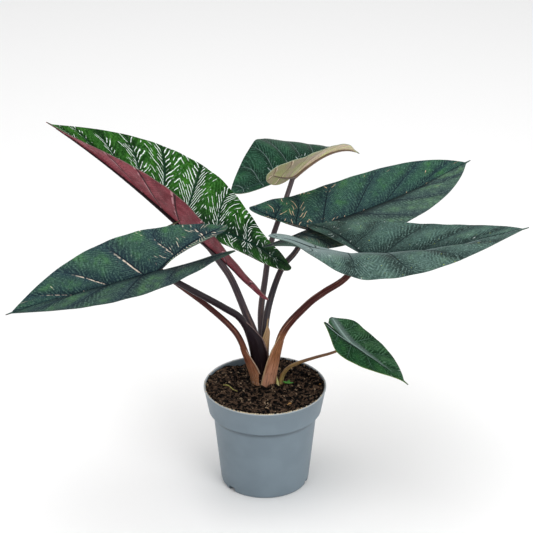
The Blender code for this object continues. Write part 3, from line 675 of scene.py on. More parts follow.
def add_tube(bm, points, radii, sides):
    """Adds a closed tube round the points."""
    tangents = np.gradient(points, axis=0)
    tangents /= np.linalg.norm(tangents, axis=1)[:, None]
    across = np.zeros_like(points)
    side = np.cross(tangents[0], (0.31, 0.17, 0.93))
    for row, tangent in enumerate(tangents):
        side = side - tangent * side.dot(tangent)
        side = side / np.linalg.norm(side)
        across[row] = side
    upright = np.cross(tangents, across)
    rows = len(points) - 1
    sheet = grid(bm, rows, sides)
    for vert, along, around in sheet:
        row = round(along * rows)
        angle = round(around * sides) % sides / sides * 2 * math.pi
        off = across[row] * math.cos(angle) + upright[row] * math.sin(angle)
        vert.co = Vector(points[row] + off * radii[row]) * MM
    bmesh.ops.remove_doubles(bm, verts=[vert for vert, *_ in sheet], dist=0.001 * MM)
    bmesh.ops.holes_fill(bm, edges=[e for e in bm.edges if e.is_boundary], sides=0)


def add_ribs(bm, leaf):
    """The midrib under the blade and a thinner rib under each rear lobe."""
    x, points, _, up = midrib_frame(leaf, 0)
    knuckle = -2.0 if leaf["sinus"] < 2 else 0.6
    at = np.linspace(knuckle, RIB_END * leaf["length"], 60)
    radii = leaf["rib_radius"] * (1 - np.clip(at, 0, None) / leaf["length"]) ** 0.9 + 0.25
    under_blade = read_at(at, x, points) - read_at(at, x, up) * (1.05 * radii)[:, None]
    add_tube(bm, under_blade, radii, 12)
    for half in (0, 1):
        _, _, axis = flat_margins(leaf, half)
        share = np.linspace(0.02, 0.8, 24)
        flat = np.outer(share * leaf["lobe"], axis)
        lobe_radii = 0.42 * leaf["rib_radius"] * (1 - share) + 0.25
        add_tube(bm, bend_blade(leaf, half, flat, -lobe_radii - 0.2), lobe_radii, 8)


print("points of a smooth bend 20 mm long:", len(smooth_route([(0, 0, 0), (9, 0, 3), (20, 0, 0)], 1.0)))

# %% [markdown]
# ## Leaf finishes
# The upper side is a dark, slightly blue green with a waxy sheen. Side veins show as lines, and between
# them run the finest veins, feathered like a plume. Their glints are painted highlights: pale dashes in the
# colour. All of that is drawn from the UV map, which says what side vein a point is near and how far out
# from the rib it is, and from three marks on the mesh: the blade's reach at that row, the spacing of the
# side veins, and which half it is. The newest leaf is bright green with painted white glints beside its
# veins, and has a wine-red underside.

# %% Leaf coordinates
class LeafFinish(Finish):
    """A finish that knows its place on the blade. Distances are in mm."""

    def __init__(self, name, sheen):
        super().__init__(name, Specular_IOR_Level=sheen)
        uv = self.add("UVMap", uv_map="Veins")
        self.number, self.out = self.add("SeparateXYZ", uv), self.add("SeparateXYZ", uv, out=1)
        reach, self.spacing, self.half = (self.add("Attribute", attribute_name=key, out=2) for key in MARKS)
        self.near = self.off_whole(self.number)
        self.beside = self.minus(self.number, self.math("ROUND", self.number))
        self.from_vein = self.times(self.near, self.spacing)
        self.from_rib = self.times(self.out, reach)

    def between(self, share, pair):
        return self.math("MULTIPLY_ADD", share, pair[1] - pair[0], pair[0])

    def per_half(self, pair):
        """The first value on the left half, the second on the right one."""
        return self.between(self.half, pair)

# %% [markdown]
# Seven leaves differ in much, so what an upper side can have is listed once, with the values of a plain
# leaf. Each leaf then names only what it has besides. Pairs are for the two halves, except that streaks
# are for the front and the rear lobes.

# %% A plain upper side
PLAIN_TOP = dict(
    # how many painted glints show as pale dashes: everywhere, then at some places, and on which half
    streaks=(0.0, 0.0), by_vein=0.0, by_base=0.0, at_sinus=(0.0, 0.0), at_rib=0.0, clear_tip=0.0,
    dashed=(1.0, 1.0),
    # spacing, length and thickness of a painted glint, then strength and spacing of the finest veins
    dash=4.0, long=8.0, thin=0.2, hairs=0.6, hair_size=2.3,
    # painted shade or pale zone by the rib, its width, then each half's painted light: brightness, strength
    # of colour
    shade=(0.0, 0.0), band=(0.0, 0.0), zone=24.0, halves=(1.0, 1.0), grey=(1.0, 1.0),
    # painted shade in folds by the side veins, their width and strength, the rib's colour, painted highlights
    # by the veins
    pleat=0.4, vein_width=0.8, vein_share=0.95, rib=None, glow=(0.0, 0.0), glow_colour=(0.7, 0.58, 0.47),
    roughness=0.42, spots=0.0, dry_tip=0.0,
)
print("settings of an upper side:", len(PLAIN_TOP))

# %% Upper side: greens and finest veins
def green_ground(skin, look):
    """Deep green by the rib and the veins, lighter and patchy between them, with painted shade in the folds.
    """
    outer = skin.times(skin.step(skin.out, 0.06, 0.6), skin.step(skin.near, 0.03, 0.34))
    skin.paint(look.deep)
    skin.paint(look.light, outer, skin.step(skin.noise(20.0, 4.0, 0.6), 0.32, 0.6, 0.4, 1.0))
    skin.paint(look.bright, outer, skin.step(skin.noise(13.0, 3.0, 0.6), 0.46, 0.72), 0.85)
    # Painted shade in the fold beside each side vein.
    fold = skin.times(skin.step(skin.beside, 0.0, 0.07), skin.step(skin.beside, 0.38, 0.1))
    skin.paint(toned(look.deep, 0.4), fold, look.pleat)


def finest_veins(skin, look):
    """Fine light and dark lines that slant off the side veins, and specks. Gives the slant and the specks."""
    pale, dark = toned(look.light, 2.1, 0.035), toned(look.deep, 0.35)
    straight = skin.minus(skin.times(skin.from_rib, 0.5), skin.times(skin.from_vein, 0.9))
    slant = skin.plus(straight, skin.times(skin.noise(13.0, 2.0), 5.0))
    line = skin.off_whole(skin.math("DIVIDE", slant, look.hair_size))
    strong = skin.step(skin.noise(6.0, 3.0), 0.36, 0.6, 0.05, 1.0)
    skin.paint(pale, skin.step(line, 0.24, 0.02), strong, look.hairs)
    skin.paint(dark, skin.step(line, 0.3, 0.48), strong, 0.8 * look.hairs)
    specks = skin.noise(1.5, 3.0, 0.7)
    skin.paint(pale, skin.step(specks, 0.52, 0.72, 0.0, 0.75))
    skin.paint(dark, skin.step(specks, 0.48, 0.30, 0.0, 0.8))
    skin.bump(skin.math("MULTIPLY_ADD", line, -1.6, skin.times(specks, 0.7)), 0.5, 0.5)
    return slant, specks


def rib_zones(skin, look):
    """Painted shade or a pale zone beside the rib, then each half's painted light: brightness and strength of
    colour.
    """
    # The dark zone beside the rib is painted shade.
    for colour, pair in (((0.004, 0.010, 0.010), look.shade), ((0.17, 0.23, 0.23), look.band)):
        if max(pair):
            skin.paint(colour, skin.step(skin.from_rib, look.zone, 1.0), skin.per_half(pair))
    # Each half's brightness and strength of colour are painted light and shade.
    grey, bright = skin.per_half(look.grey), skin.per_half(look.halves)
    skin.colour = skin.add("HueSaturation", None, grey, bright, None, skin.colour)

# %% Upper side: painted glints
def glint_share(skin, look):
    """How many of the painted glints show at each place."""
    veins = look.veins
    on_lobe = skin.step(skin.number, veins - 0.2, veins + 0.2)
    rear = skin.step(skin.number, 1.5 * veins, 1.8 * veins)
    before_base = skin.step(skin.number, 0.45 * veins, 0.9 * veins)
    base = skin.times(before_base, skin.step(skin.number, veins + 0.4, veins))
    by_rib = skin.times(skin.step(skin.from_rib, 6.0, 3.0), skin.step(skin.number, 0.5 * veins, 0.75 * veins))
    from_lobe_tip = skin.math("ABSOLUTE", skin.minus(skin.number, 1.5 * veins))
    share = skin.between(on_lobe, look.streaks)
    extras = (
        (skin.step(skin.from_vein, 8.0, 3.0), look.by_vein),
        (base, look.by_base),
        (skin.times(rear, skin.per_half(look.at_sinus)), max(look.at_sinus) and 1.0),
        (skin.times(by_rib, skin.minus(1.0, on_lobe)), look.at_rib),
        (skin.step(from_lobe_tip, 0.16 * veins, 0.05 * veins), -look.clear_tip),
    )
    for place, amount in extras:
        if amount:
            share = skin.plus(share, skin.times(place, amount))
    return share


def painted_glints(skin, look, slant, specks):
    """Painted glints: short pale strokes on the slant. Each has its own number, and chance decides which of
    them show.
    """
    hidden = skin.math("MULTIPLY_ADD", glint_share(skin, look), -0.42, 0.71)
    line = skin.math("DIVIDE", skin.plus(slant, specks), look.dash)
    onward = skin.math("DIVIDE", skin.plus(skin.from_rib, skin.from_vein), look.long)
    line_number = skin.times(skin.math("ROUND", line), 5.7)
    vein_number = skin.times(skin.math("ROUND", skin.number), 3.3)
    chance = skin.noise(1.0, 1.0, where=skin.add("CombineXYZ", onward, line_number, vein_number))
    shown = skin.step(skin.minus(chance, hidden), -0.02, 0.06)
    stroke = skin.step(skin.off_whole(line), look.thin, 0.45 * look.thin)
    # The pale strokes are painted glints.
    skin.paint(look.streak, stroke, shown, skin.step(skin.from_vein, 0.8, 1.6), skin.per_half(look.dashed))

# %% Upper side: side veins and rib
def side_veins(skin, look):
    """Side veins that thin out towards the margin, with a painted highlight beside them on some leaves, and
    the rib.
    """
    width = skin.step(skin.out, 0.1, 1.0, look.vein_width, 0.5 * look.vein_width)
    line = skin.step(skin.minus(skin.from_vein, width), 0.4, -0.2)
    faint = skin.step(skin.noise(5.0, 2.0), 0.4, 0.56, 2 * look.vein_share - 1, look.vein_share)
    skin.paint(look.vein, line, skin.step(skin.out, 1.0, 0.6, 0.3, 1.0), faint)
    # On some leaves, a painted highlight: a broken pale line beside each side vein.
    if max(look.glow):
        ridge = skin.math("ABSOLUTE", skin.math("MULTIPLY_ADD", skin.beside, skin.spacing, 1.3))
        broken = skin.step(skin.noise(3.0, 3.0), 0.4, 0.58)
        inner = skin.times(skin.step(skin.out, 0.03, 0.1), skin.step(skin.out, 0.8, 0.45))
        edge = skin.step(ridge, 0.95, 0.35)
        skin.paint(look.glow_colour, edge, broken, inner, skin.per_half(look.glow))
    skin.paint(look.rib or look.vein, skin.step(skin.from_rib, 1.5, 0.7))


def leaf_top(name, look):
    skin = LeafFinish(name, 0.045)
    green_ground(skin, look)
    slant, specks = finest_veins(skin, look)
    rib_zones(skin, look)
    painted_glints(skin, look, slant, specks)
    side_veins(skin, look)
    if look.spots:
        skin.paint((0.42, 0.48, 0.06), skin.step(skin.noise(3.2, 1.0), 0.76, 0.80), look.spots)
    if look.dry_tip:
        skin.paint((0.50, 0.40, 0.26), skin.step(skin.number, look.dry_tip, 0.5 * look.dry_tip))
    return skin.wear(skin.step(skin.noise(12.0, 3.0), 0.3, 0.7, look.roughness - 0.07, look.roughness + 0.1))

# %% Underside and edge
def leaf_under(name, veins, base, tint, vein, glint=None):
    """The underside: paler and matter, with raised veins. glint is the colour of painted glints, broken lines
    beside them.
    """
    skin = LeafFinish(name, 0.12)
    dark, lighter = toned(base, 0.4), toned(tint, 1.6, 0.05)
    slant = skin.plus(skin.from_rib, skin.times(skin.noise(5.0, 2.0), 5.0))
    net = skin.off_whole(skin.math("DIVIDE", skin.minus(slant, skin.from_vein), 3.0))
    specks = skin.noise(1.6, 3.0, 0.7)
    skin.paint(base)
    skin.paint(tint, skin.step(skin.noise(14.0, 4.0), 0.38, 0.6))
    skin.paint(toned(base, 0.45), skin.step(net, 0.2, 0.02), 0.6)
    skin.paint(lighter, skin.step(specks, 0.54, 0.74, 0.0, 0.55))
    skin.paint(dark, skin.step(specks, 0.46, 0.28, 0.0, 0.5))
    skin.paint(dark, skin.step(skin.number, 0.9 * veins, 1.4 * veins, 0.0, 0.5))
    # Painted glints: broken pale lines beside each vein.
    from_ridge = skin.math("ABSOLUTE", skin.plus(skin.times(skin.beside, skin.spacing), 1.9))
    broken = skin.step(skin.noise(6.0, 3.0), 0.46, 0.56)
    skin.paint(glint or lighter, skin.step(from_ridge, 1.2, 0.5), broken, 0.8)
    skin.paint(vein, skin.step(skin.from_vein, 1.4, 0.6), 0.85)
    skin.bump(skin.plus(skin.step(net, 0.16, 0.0), specks), 0.4, 0.4)
    return skin.wear(skin.step(skin.noise(8.0), 0.3, 0.7, 0.5, 0.66))


def leaf_edge(name, colour):
    skin = Finish(name, Specular_IOR_Level=0.2)
    skin.paint(colour)
    skin.paint(toned(colour, 0.6), skin.noise(6.0))
    return skin.wear(0.5)

# %% [markdown]
# Now the leaves' own colours. deep, light and bright are the greens, then comes the colour of the pale
# dashes, which are painted glints. under is the underside's ground, its tint, its veins and, on the newest
# leaf, the colour of the painted glint beside them. edge is the margin, quilt is how many mm the blade swells
# between its side veins, and veins counts those in front of the stalk.

# %% One finish per leaf
LEAF_LOOKS = {
    "leaf_1": dict(
        deep=(0.010, 0.031, 0.042), light=(0.019, 0.062, 0.042), bright=(0.034, 0.135, 0.034),
        vein=(0.005, 0.013, 0.019), streak=(0.62, 0.54, 0.44), veins=4.4, glow=(0.0, 0.9),
        hairs=0.4, hair_size=2.6, streaks=(0.02, 0.28), at_sinus=(0.0, 0.7), dashed=(0.1, 0.9),
        dash=2.7, long=15.0, thin=0.12, shade=(0.75, 0.2), halves=(1.15, 1.2), grey=(0.76, 0.88),
        under=((0.10, 0.11, 0.075), (0.13, 0.09, 0.08), (0.05, 0.05, 0.04)),
        edge=(0.04, 0.07, 0.06), quilt=1.5,
    ),
    "leaf_2": dict(
        deep=(0.004, 0.027, 0.004), light=(0.016, 0.084, 0.008), bright=(0.040, 0.168, 0.013),
        vein=(0.004, 0.024, 0.014), streak=(0.80, 0.88, 0.84), veins=7.0, glow=(0.4, 0.4),
        glow_colour=(0.50, 0.66, 0.56), streaks=(0.12, 0.38), by_vein=0.38, by_base=0.34,
        clear_tip=0.45, dash=2.4, long=11.0, thin=0.155, hairs=0.45, hair_size=3.0,
        roughness=0.36, dry_tip=0.24, shade=(0.7, 0.7),
        under=((0.19, 0.027, 0.040), (0.31, 0.060, 0.080), (0.020, 0.004, 0.008), (0.66, 0.34, 0.38)),
        edge=(0.16, 0.10, 0.09), quilt=1.5,
    ),
    "leaf_3": dict(
        deep=(0.004, 0.022, 0.014), light=(0.012, 0.056, 0.030), bright=(0.022, 0.090, 0.036),
        vein=(0.18, 0.24, 0.23), streak=(0.36, 0.45, 0.43), veins=7.0, streaks=(0.1, 0.1),
        long=14.0, hair_size=2.6, vein_width=0.3, vein_share=0.75, rib=(0.02, 0.05, 0.04),
        under=((0.60, 0.60, 0.28), (0.62, 0.47, 0.36), (0.24, 0.16, 0.11)),
        edge=(0.34, 0.38, 0.26), quilt=1.2,
    ),
    "leaf_4": dict(
        deep=(0.010, 0.034, 0.040), light=(0.015, 0.066, 0.040), bright=(0.026, 0.135, 0.028),
        vein=(0.004, 0.012, 0.016), streak=(0.78, 0.55, 0.36), veins=5.4, hairs=0.4,
        streaks=(0.0, 0.36), dash=2.7, long=17.0, thin=0.13, clear_tip=0.3, at_sinus=(0.2, 0.1),
        at_rib=0.42, dashed=(0.9, 0.2), shade=(0.15, 0.95), halves=(1.2, 1.5),
        grey=(0.86, 0.62), vein_width=0.7,
        under=((0.11, 0.12, 0.09), (0.10, 0.09, 0.08), (0.06, 0.06, 0.05)),
        edge=(0.04, 0.08, 0.06), quilt=1.2,
    ),
    "leaf_5": dict(
        deep=(0.014, 0.036, 0.032), light=(0.034, 0.080, 0.066), bright=(0.056, 0.125, 0.080),
        vein=(0.008, 0.018, 0.018), streak=(0.34, 0.40, 0.38), veins=4.6, streaks=(0.06, 0.12),
        dash=3.0, hairs=0.5, hair_size=2.4, pleat=0.75, shade=(0.45, 0.0), band=(0.0, 0.65),
        halves=(1.25, 1.4), grey=(0.9, 0.8), roughness=0.38, spots=0.8,
        under=((0.11, 0.13, 0.11), (0.10, 0.10, 0.09), (0.07, 0.08, 0.07)),
        edge=(0.10, 0.15, 0.12), quilt=1.7,
    ),
    "leaf_6": dict(
        deep=(0.006, 0.042, 0.013), light=(0.018, 0.084, 0.030), bright=(0.034, 0.130, 0.030),
        vein=(0.10, 0.19, 0.15), streak=(0.34, 0.44, 0.38), veins=4.0, streaks=(0.06, 0.04),
        dash=3.0, shade=(0.0, 0.9), band=(0.55, 0.0), zone=7.0, halves=(1.2, 0.85),
        grey=(0.85, 1.0), vein_width=0.25, vein_share=0.7, rib=(0.26, 0.36, 0.33),
        under=((0.15, 0.19, 0.12), (0.17, 0.16, 0.12), (0.28, 0.36, 0.32)),
        edge=(0.16, 0.26, 0.05), quilt=0.8,
    ),
    "leaf_7": dict(
        deep=(0.040, 0.050, 0.024), light=(0.060, 0.075, 0.030), bright=(0.085, 0.11, 0.035),
        vein=(0.05, 0.05, 0.03), streak=(0.5, 0.42, 0.3), veins=5.0,
        under=((0.14, 0.12, 0.06), (0.16, 0.12, 0.07), (0.10, 0.08, 0.05)),
        edge=(0.12, 0.10, 0.05), quilt=0.8,
    ),
}
LOOKS = {name: SimpleNamespace(**{**PLAIN_TOP, **own}) for name, own in LEAF_LOOKS.items()}
print("side veins on each half, front part:", {name: look.veins for name, look in LOOKS.items()})

# %% [markdown]
# ## Stalk routes
# The stalks rise in one bundle from the stem, then arch out to their blades. The innermost and youngest
# come first. Each route is a handful of points with a smooth curve through them, and its last point is
# the underside of the blade. The radii are those of the foot, a third of the way up, and the top; reach is
# the height of the sheath, and its trough has a radius and two margins that narrow on the way up.

# %% Stalk sizes
STALKS = {
    "leaf_4": dict(
        route=[(1, 15, 94), (0, 15, 138), (1, 20, 164), (7, 33, 187), (17, 50, 207), (30, 57, 221)],
        radii=(3.2, 3.4, 2.6), reach=74, trough=(3.6, 5.0, 3.2), ccw=(60, 50, 10), cw=(80, 130, 60),
    ),
    "leaf_3": dict(
        route=[(-1, 20, 94), (-3, 23, 136), (-4, 37, 164), (0, 57, 190), (6, 81, 219), (19, 105, 250)],
        radii=(3.2, 3.2, 2.4), reach=56, trough=(3.4, 4.2, 3.0), ccw=(60, 60, 10), cw=(60, 60, 10),
    ),
    "leaf_2": dict(
        route=[(-6, 17, 94), (-7, 17, 139), (-19, 15, 176), (-32, 13, 212), (-44, 13, 232), (-56, 12, 250)],
        radii=(3.2, 3.8, 2.8), reach=66, trough=(3.4, 4.2, 3.2), ccw=(60, 60, 10), cw=(60, 60, 10),
    ),
    "leaf_1": dict(
        route=[(-5, 10, 94), (-11.5, 6.5, 143), (-22, -8, 179), (-40, -29, 204), (-71, -68, 243.5)],
        radii=(3.4, 3.6, 2.6), reach=88, trough=(6.6, 8.2, 5.0), ccw=(92, 100, 40), cw=(80, 74, 34),
    ),
    "leaf_5": dict(
        route=[(5, 10.5, 94), (9, 8, 123), (18, 3, 161), (40, -8, 195), (56, -16, 213), (76, -24, 232)],
        radii=(3.6, 3.8, 2.8), reach=70, trough=(9.2, 9.0, 4.4), ccw=(80, 62, 14), cw=(74, 60, 34),
    ),
    "leaf_7": dict(
        route=[(-8.6, 10.6, 94), (-10.6, 9.4, 109), (-18, 5, 134), (-29, 1, 162), (-56, -4, 193),
               (-94, -11, 229)],
        radii=(3.2, 3.0, 2.0), reach=62, trough=(8.8, 9.0, 3.4), ccw=(70, 42, 12), cw=(78, 50, 10),
    ),
    "leaf_6": dict(
        route=[(15.6, 12.6, 84), (15.6, 12.4, 99.5), (17.4, 11.6, 108.5), (22.9, 8.5, 118), (31, 3, 126),
               (47, -10, 139), (67, -31, 157)],
        radii=(2.8, 1.7, 1.15), reach=0,
    ),
}
STALK_SHARES = (0, 0.35, 1)
for name, stalk in STALKS.items():
    BLADES[name]["rib_radius"] = 0.85 * stalk["radii"][2]


def seat_of(leaf):
    """Where the stalk meets the underside of the blade."""
    _, points, _, up = midrib_frame(leaf, 0)
    return points[STEPS_BEHIND] - up[STEPS_BEHIND] * 0.45 * leaf["rib_radius"]


print("stalks end at", {name: seat_of(leaf).round().tolist() for name, leaf in BLADES.items()})

# %% [markdown]
# ## Stalk finishes
# Old stalks are dark, almost black purple with a grey bloom; others are reddish brown. Towards the foot
# each turns tan and pinkish. The colour therefore depends on height, with fine lengthwise streaks over it.

# %% Stalk finish
def stalk_finish(name, upper, middle, foot, low=100.0, mid=130.0, high=165.0, sheen=0.16, margin=None,
                 lengthwise=True):
    """Colour by height, with streaks along the stalk. margin is the colour of a sheath's dry edge."""
    skin = Finish(name, Specular_IOR_Level=sheen)
    height = skin.add("SeparateXYZ", skin.where, out=2)
    level = skin.plus(height, skin.math("MULTIPLY_ADD", skin.noise(9.0, 3.0), 20.0, -10.0))
    skin.paint(foot)
    skin.paint(middle, skin.step(level, low, mid))
    skin.paint(upper, skin.step(level, mid, high))
    uv = skin.add("UVMap", uv_map="Veins")
    stretched = skin.add("Mapping", uv, None, None, (4.0, 30.0, 1.0)) if lengthwise else None
    streaks = skin.noise(1.0, 4.0, 0.65, stretched)
    skin.paint((0.008, 0.003, 0.003), skin.step(streaks, 0.49, 0.62), 0.65)
    skin.paint(toned(foot, 1.3, 0.03), skin.step(streaks, 0.46, 0.34, 0.0, 0.7), 0.5)
    specks = skin.step(skin.noise(2.0, 4.0, 0.7), 0.56, 0.70)
    skin.paint((0.55, 0.43, 0.38), specks, skin.step(height, 122.0, 98.0), 0.7)
    if margin:
        across = skin.add("SeparateXYZ", uv, out=1)
        off_middle = skin.math("ABSOLUTE", skin.math("MULTIPLY_ADD", across, 2.0, -1.0))
        torn = skin.math("MULTIPLY_ADD", skin.noise(3.0, 3.0), 0.16, off_middle)
        skin.paint(margin, skin.step(torn, 0.92, 1.04), 0.9)
    skin.bump(streaks, 0.3, 0.3)
    return skin.wear(skin.step(streaks, 0.3, 0.7, 0.3, 0.46))


TAN = (0.30, 0.16, 0.085)
PINK_TAN = (0.53, 0.26, 0.165)
DRY = (0.40, 0.28, 0.21)
STALK_LOOKS = {
    # leaf_1's near-black middle is painted shade, for its sheath stands in shade.
    "leaf_1": dict(upper=(0.015, 0.010, 0.014), middle=(0.004, 0.0012, 0.0012), foot=(0.020, 0.006, 0.005),
                   low=97, mid=108, high=172, sheen=0.1, margin=(0.20, 0.14, 0.13)),
    "leaf_2": dict(upper=(0.048, 0.036, 0.044), middle=(0.040, 0.028, 0.033), foot=TAN, margin=DRY),
    "leaf_3": dict(upper=(0.088, 0.070, 0.080), middle=(0.075, 0.058, 0.066), foot=TAN, margin=DRY),
    "leaf_4": dict(upper=(0.038, 0.034, 0.042), middle=(0.038, 0.033, 0.040), foot=TAN,
                   margin=(0.42, 0.29, 0.15),
                   sheath=dict(upper=(0.36, 0.23, 0.12), middle=(0.34, 0.21, 0.105))),
    "leaf_5": dict(upper=(0.052, 0.008, 0.007), middle=(0.270, 0.110, 0.046), foot=PINK_TAN,
                   low=104, mid=140, high=176, margin=(0.42, 0.29, 0.17)),
    "leaf_6": dict(upper=(0.200, 0.100, 0.056), middle=(0.320, 0.210, 0.085), foot=(0.42, 0.33, 0.110),
                   low=96, mid=114, high=142),
    "leaf_7": dict(upper=(0.052, 0.009, 0.008), middle=(0.160, 0.052, 0.026), foot=(0.38, 0.18, 0.095),
                   low=102, mid=134, high=162, margin=(0.42, 0.30, 0.22)),
}
print("sheaths with a dry edge:", sum("margin" in look for look in STALK_LOOKS.values()))

# %% [markdown]
# ## Sheaths
# The foot of each stalk widens into a trough that is open on its inner side. It holds the younger stalks
# until they have grown out, then its margins dry and turn tan. A grid bent round the bundle and given a
# thickness makes one; it narrows to the stalk at its top.

# %% Sheath as a mesh
SHEATH_ROWS = 64
SHEATH_COLUMNS = 40
FOOT = (-2.0, 15.0)
STEM_TOP = 96.0
BUNDLE_TOP = (-5.0, 13.0, 172.0)


def bundle_axis(height):
    share = (height - STEM_TOP) / (BUNDLE_TOP[2] - STEM_TOP)
    return np.array(FOOT) * (1 - share) + np.array(BUNDLE_TOP[:2]) * share


def sheath_sheet(stalk, points):
    """The open trough at the foot of a stalk. Its back is full, where it is one with the stalk."""
    along = lengths_along(points)
    stalk_radius = np.interp(along / along[-1], STALK_SHARES, stalk["radii"])
    bm = mapped_mesh()
    for vert, up, across in grid(bm, SHEATH_ROWS, SHEATH_COLUMNS):
        at = up * stalk["reach"]
        spine = read_at(at, along, points)
        outward = spine[:2] - bundle_axis(spine[2])
        outward = outward / np.linalg.norm(outward)
        radius = np.interp(up, (0, 0.5, 1), stalk["trough"])
        ccw, cw = (np.interp(up, (0, 0.68, 1), stalk[key]) for key in ("ccw", "cw"))
        angle = math.radians(-cw + (cw + ccw) * across)
        turn = np.array([[math.cos(angle), -math.sin(angle)], [math.sin(angle), math.cos(angle)]])
        margin = abs(2 * across - 1)
        back = (np.interp(at, along, stalk_radius) + 0.3) * (1 - margin**2) ** 2
        back *= 1 - 1.5 * ease((up - 0.8) / 0.2)
        ripple = margin**6 * (0.5 + 0.3 * math.sin(9 * up + 3 * across))
        place = spine[:2] - outward * radius + turn @ outward * (radius + back + ripple)
        vert.co = Vector((*place, spine[2])) * MM
    return bm


print("middle of the bundle at the soil:", bundle_axis(100.0).round(1).tolist(), "mm")

# %% [markdown]
# ## Growing the leaves
# Each leaf is four pieces at most: the blade's sheet, its ribs, the stalk and the sheath. The blade's UV map
# is stretched after the thickness is made, so that it counts the side veins.

# %% Grow a blade
BLADE_THICKNESS = 0.7
SHEET_CREASE = 60


def grow_blade(name, leaf, look):
    skins = [
        leaf_top(name + " upper side", look),
        leaf_under(name + " underside", look.veins, *look.under),
        leaf_edge(name + " margin", look.edge),
    ]
    bm = blade_sheet(leaf, look.veins, look.quilt)
    blade = finished(name + "_sheet", bm, skins, (name + "_blade",), BLADE_THICKNESS, SHEET_CREASE)
    layer = blade.data.uv_layers["Veins"].data
    uv = np.empty(len(layer) * 2, np.float32)
    layer.foreach_get("uv", uv)
    uv[0::2] *= ALL_ROWS / FRONT_ROWS * look.veins
    layer.foreach_set("uv", uv)
    bm = mapped_mesh()
    add_ribs(bm, leaf)
    finished(name + "_ribs", bm, [leaf_edge(name + " rib", toned(look.under[2], 0.8))])
    return blade

# %% Grow a stalk
SHEATH_THICKNESS = 0.8
STALK_STEP, STALK_SIDES = 3.0, 24


def grow_stalk(name, leaf, stalk, look):
    look = dict(look)
    dry_edge, sheath_look = look.pop("margin", None), look.pop("sheath", {})
    points = smooth_route(stalk["route"] + [tuple(seat_of(leaf))], STALK_STEP)
    radii = np.interp(np.linspace(0, 1, len(points)), STALK_SHARES, stalk["radii"])
    bm = mapped_mesh()
    add_tube(bm, points, radii, STALK_SIDES)
    finished(name + "_petiole", bm, [stalk_finish(name + " stalk", **look)], (name + "_stalk",))
    if stalk["reach"]:
        skin = stalk_finish(name + " sheath", **{**look, **sheath_look}, margin=dry_edge)
        bm = sheath_sheet(stalk, points)
        finished(name + "_sheath", bm, [skin, skin], (), SHEATH_THICKNESS, SHEET_CREASE)

# %% [markdown]
# Every leaf goes through the same two functions, so a change to one of them changes all seven.

# %% Grow the leaves
for name, leaf in BLADES.items():
    blade = grow_blade(name, leaf, LOOKS[name])
    grow_stalk(name, leaf, STALKS[name], STALK_LOOKS[name])
    print(name, "blade", len(blade.data.polygons), "faces")

# %% [markdown]
# ## Soil
# The mix is peat and bark: dark crumbs of every size, a few paler chips, and loose fibres. A gently heaped
# bed with real relief carries thousands of small rough crumbs. A lumpy crumb has at most 80 faces, and its
# own turn, size and squash.

# %% Soil finish
def potting_mix():
    skin = Finish("Potting mix", Specular_IOR_Level=0.12)
    lumps = skin.add("TexVoronoi", skin.where, None, 0.45, out=1)
    tone, rare = (skin.add("SeparateColor", lumps, out=channel) for channel in (0, 1))
    fine = skin.noise(0.7, 4.0, 0.7)
    dark = (0.0010, 0.0005, 0.0003)
    skin.paint(dark)
    skin.paint((0.120, 0.074, 0.048), skin.step(tone, 0.42, 0.88))
    skin.paint((0.36, 0.26, 0.17), skin.step(rare, 0.96, 0.976))
    skin.paint(toned(dark, 0.35), skin.step(fine, 0.35, 0.7, 0.0, 0.7))
    skin.bump(fine, 0.9, 0.6)
    return skin.wear(0.92)


SOIL_LEVEL = 102.0
SOIL_RADIUS = 57.6
SOIL_EDGE = SOIL_RADIUS - 2.5
soil_skin = potting_mix()
print("soil finish:", len(soil_skin.node_tree.nodes), "nodes")

# %% Soil bed
SOIL_DIP, DIP_FROM, DIP_OVER = 3.0, 52.0, 22.0
SOIL_MOUND, MOUND_WIDTH = 2.0, 26.0
HOLLOW, HOLLOW_DEPTH, HOLLOW_WIDTH = (-25.0, 51.0), 5.0, 11.0
SOIL_RINGS, SOIL_SIDES = 64, 160
SOIL_UNDER = [(51.0, 78.0), (46.0, 50.0), (40.0, 7.0), (0.0, 7.0)]


def hump(x, y, middle, width):
    return math.exp(-((x - middle[0]) ** 2 + (y - middle[1]) ** 2) / width**2)


def ground(x, y):
    """Height of the soil: it dips inside the rim, is heaped round the stem, and has sunk at one place."""
    out = math.hypot(x, y)
    dip = SOIL_DIP * float(ease((DIP_FROM - out) / DIP_OVER))
    mound = SOIL_MOUND * hump(x, y, FOOT, MOUND_WIDTH)
    sunk = HOLLOW_DEPTH * hump(x, y, HOLLOW, HOLLOW_WIDTH)
    rough = 1.6 * noise.noise((x / 8, y / 8, 1.5)) + 1.6 * noise.noise((x / 2.6, y / 2.6, 7.5))
    return SOIL_LEVEL - dip + mound - sunk + rough * (0.4 if out > SOIL_RADIUS - 2 else 1.0)


bm = bmesh.new()
top = [(SOIL_RADIUS * ring / SOIL_RINGS, SOIL_LEVEL) for ring in range(SOIL_RINGS + 1)]
turned(bm, top + SOIL_UNDER, SOIL_SIDES)
for vert in bm.verts:
    if vert.co.z > (SOIL_LEVEL - 1) * MM:
        vert.co.z = ground(vert.co.x / MM, vert.co.y / MM) * MM
bed = finished("soil_bed", bm, [soil_skin], ("soil",))
print("soil bed:", len(bed.data.polygons), "faces")

# %% [markdown]
# The crumbs are icospheres with their corners pushed in and out by noise. Random numbers come from one
# seeded source, so the soil is the same every time. They are drawn in the order in which the pieces are
# made, and another order would move every crumb that comes later.

# %% Soil crumbs
draw = np.random.default_rng(11)
FULL_TURN = 6.28
STALK_CLEARANCE, SIDE_CLEARANCE, SIDE_FOOT = 14.5, 5.5, (14.5, 9.0)


def on_circle(radius, angle):
    return radius * math.cos(angle), radius * math.sin(angle)


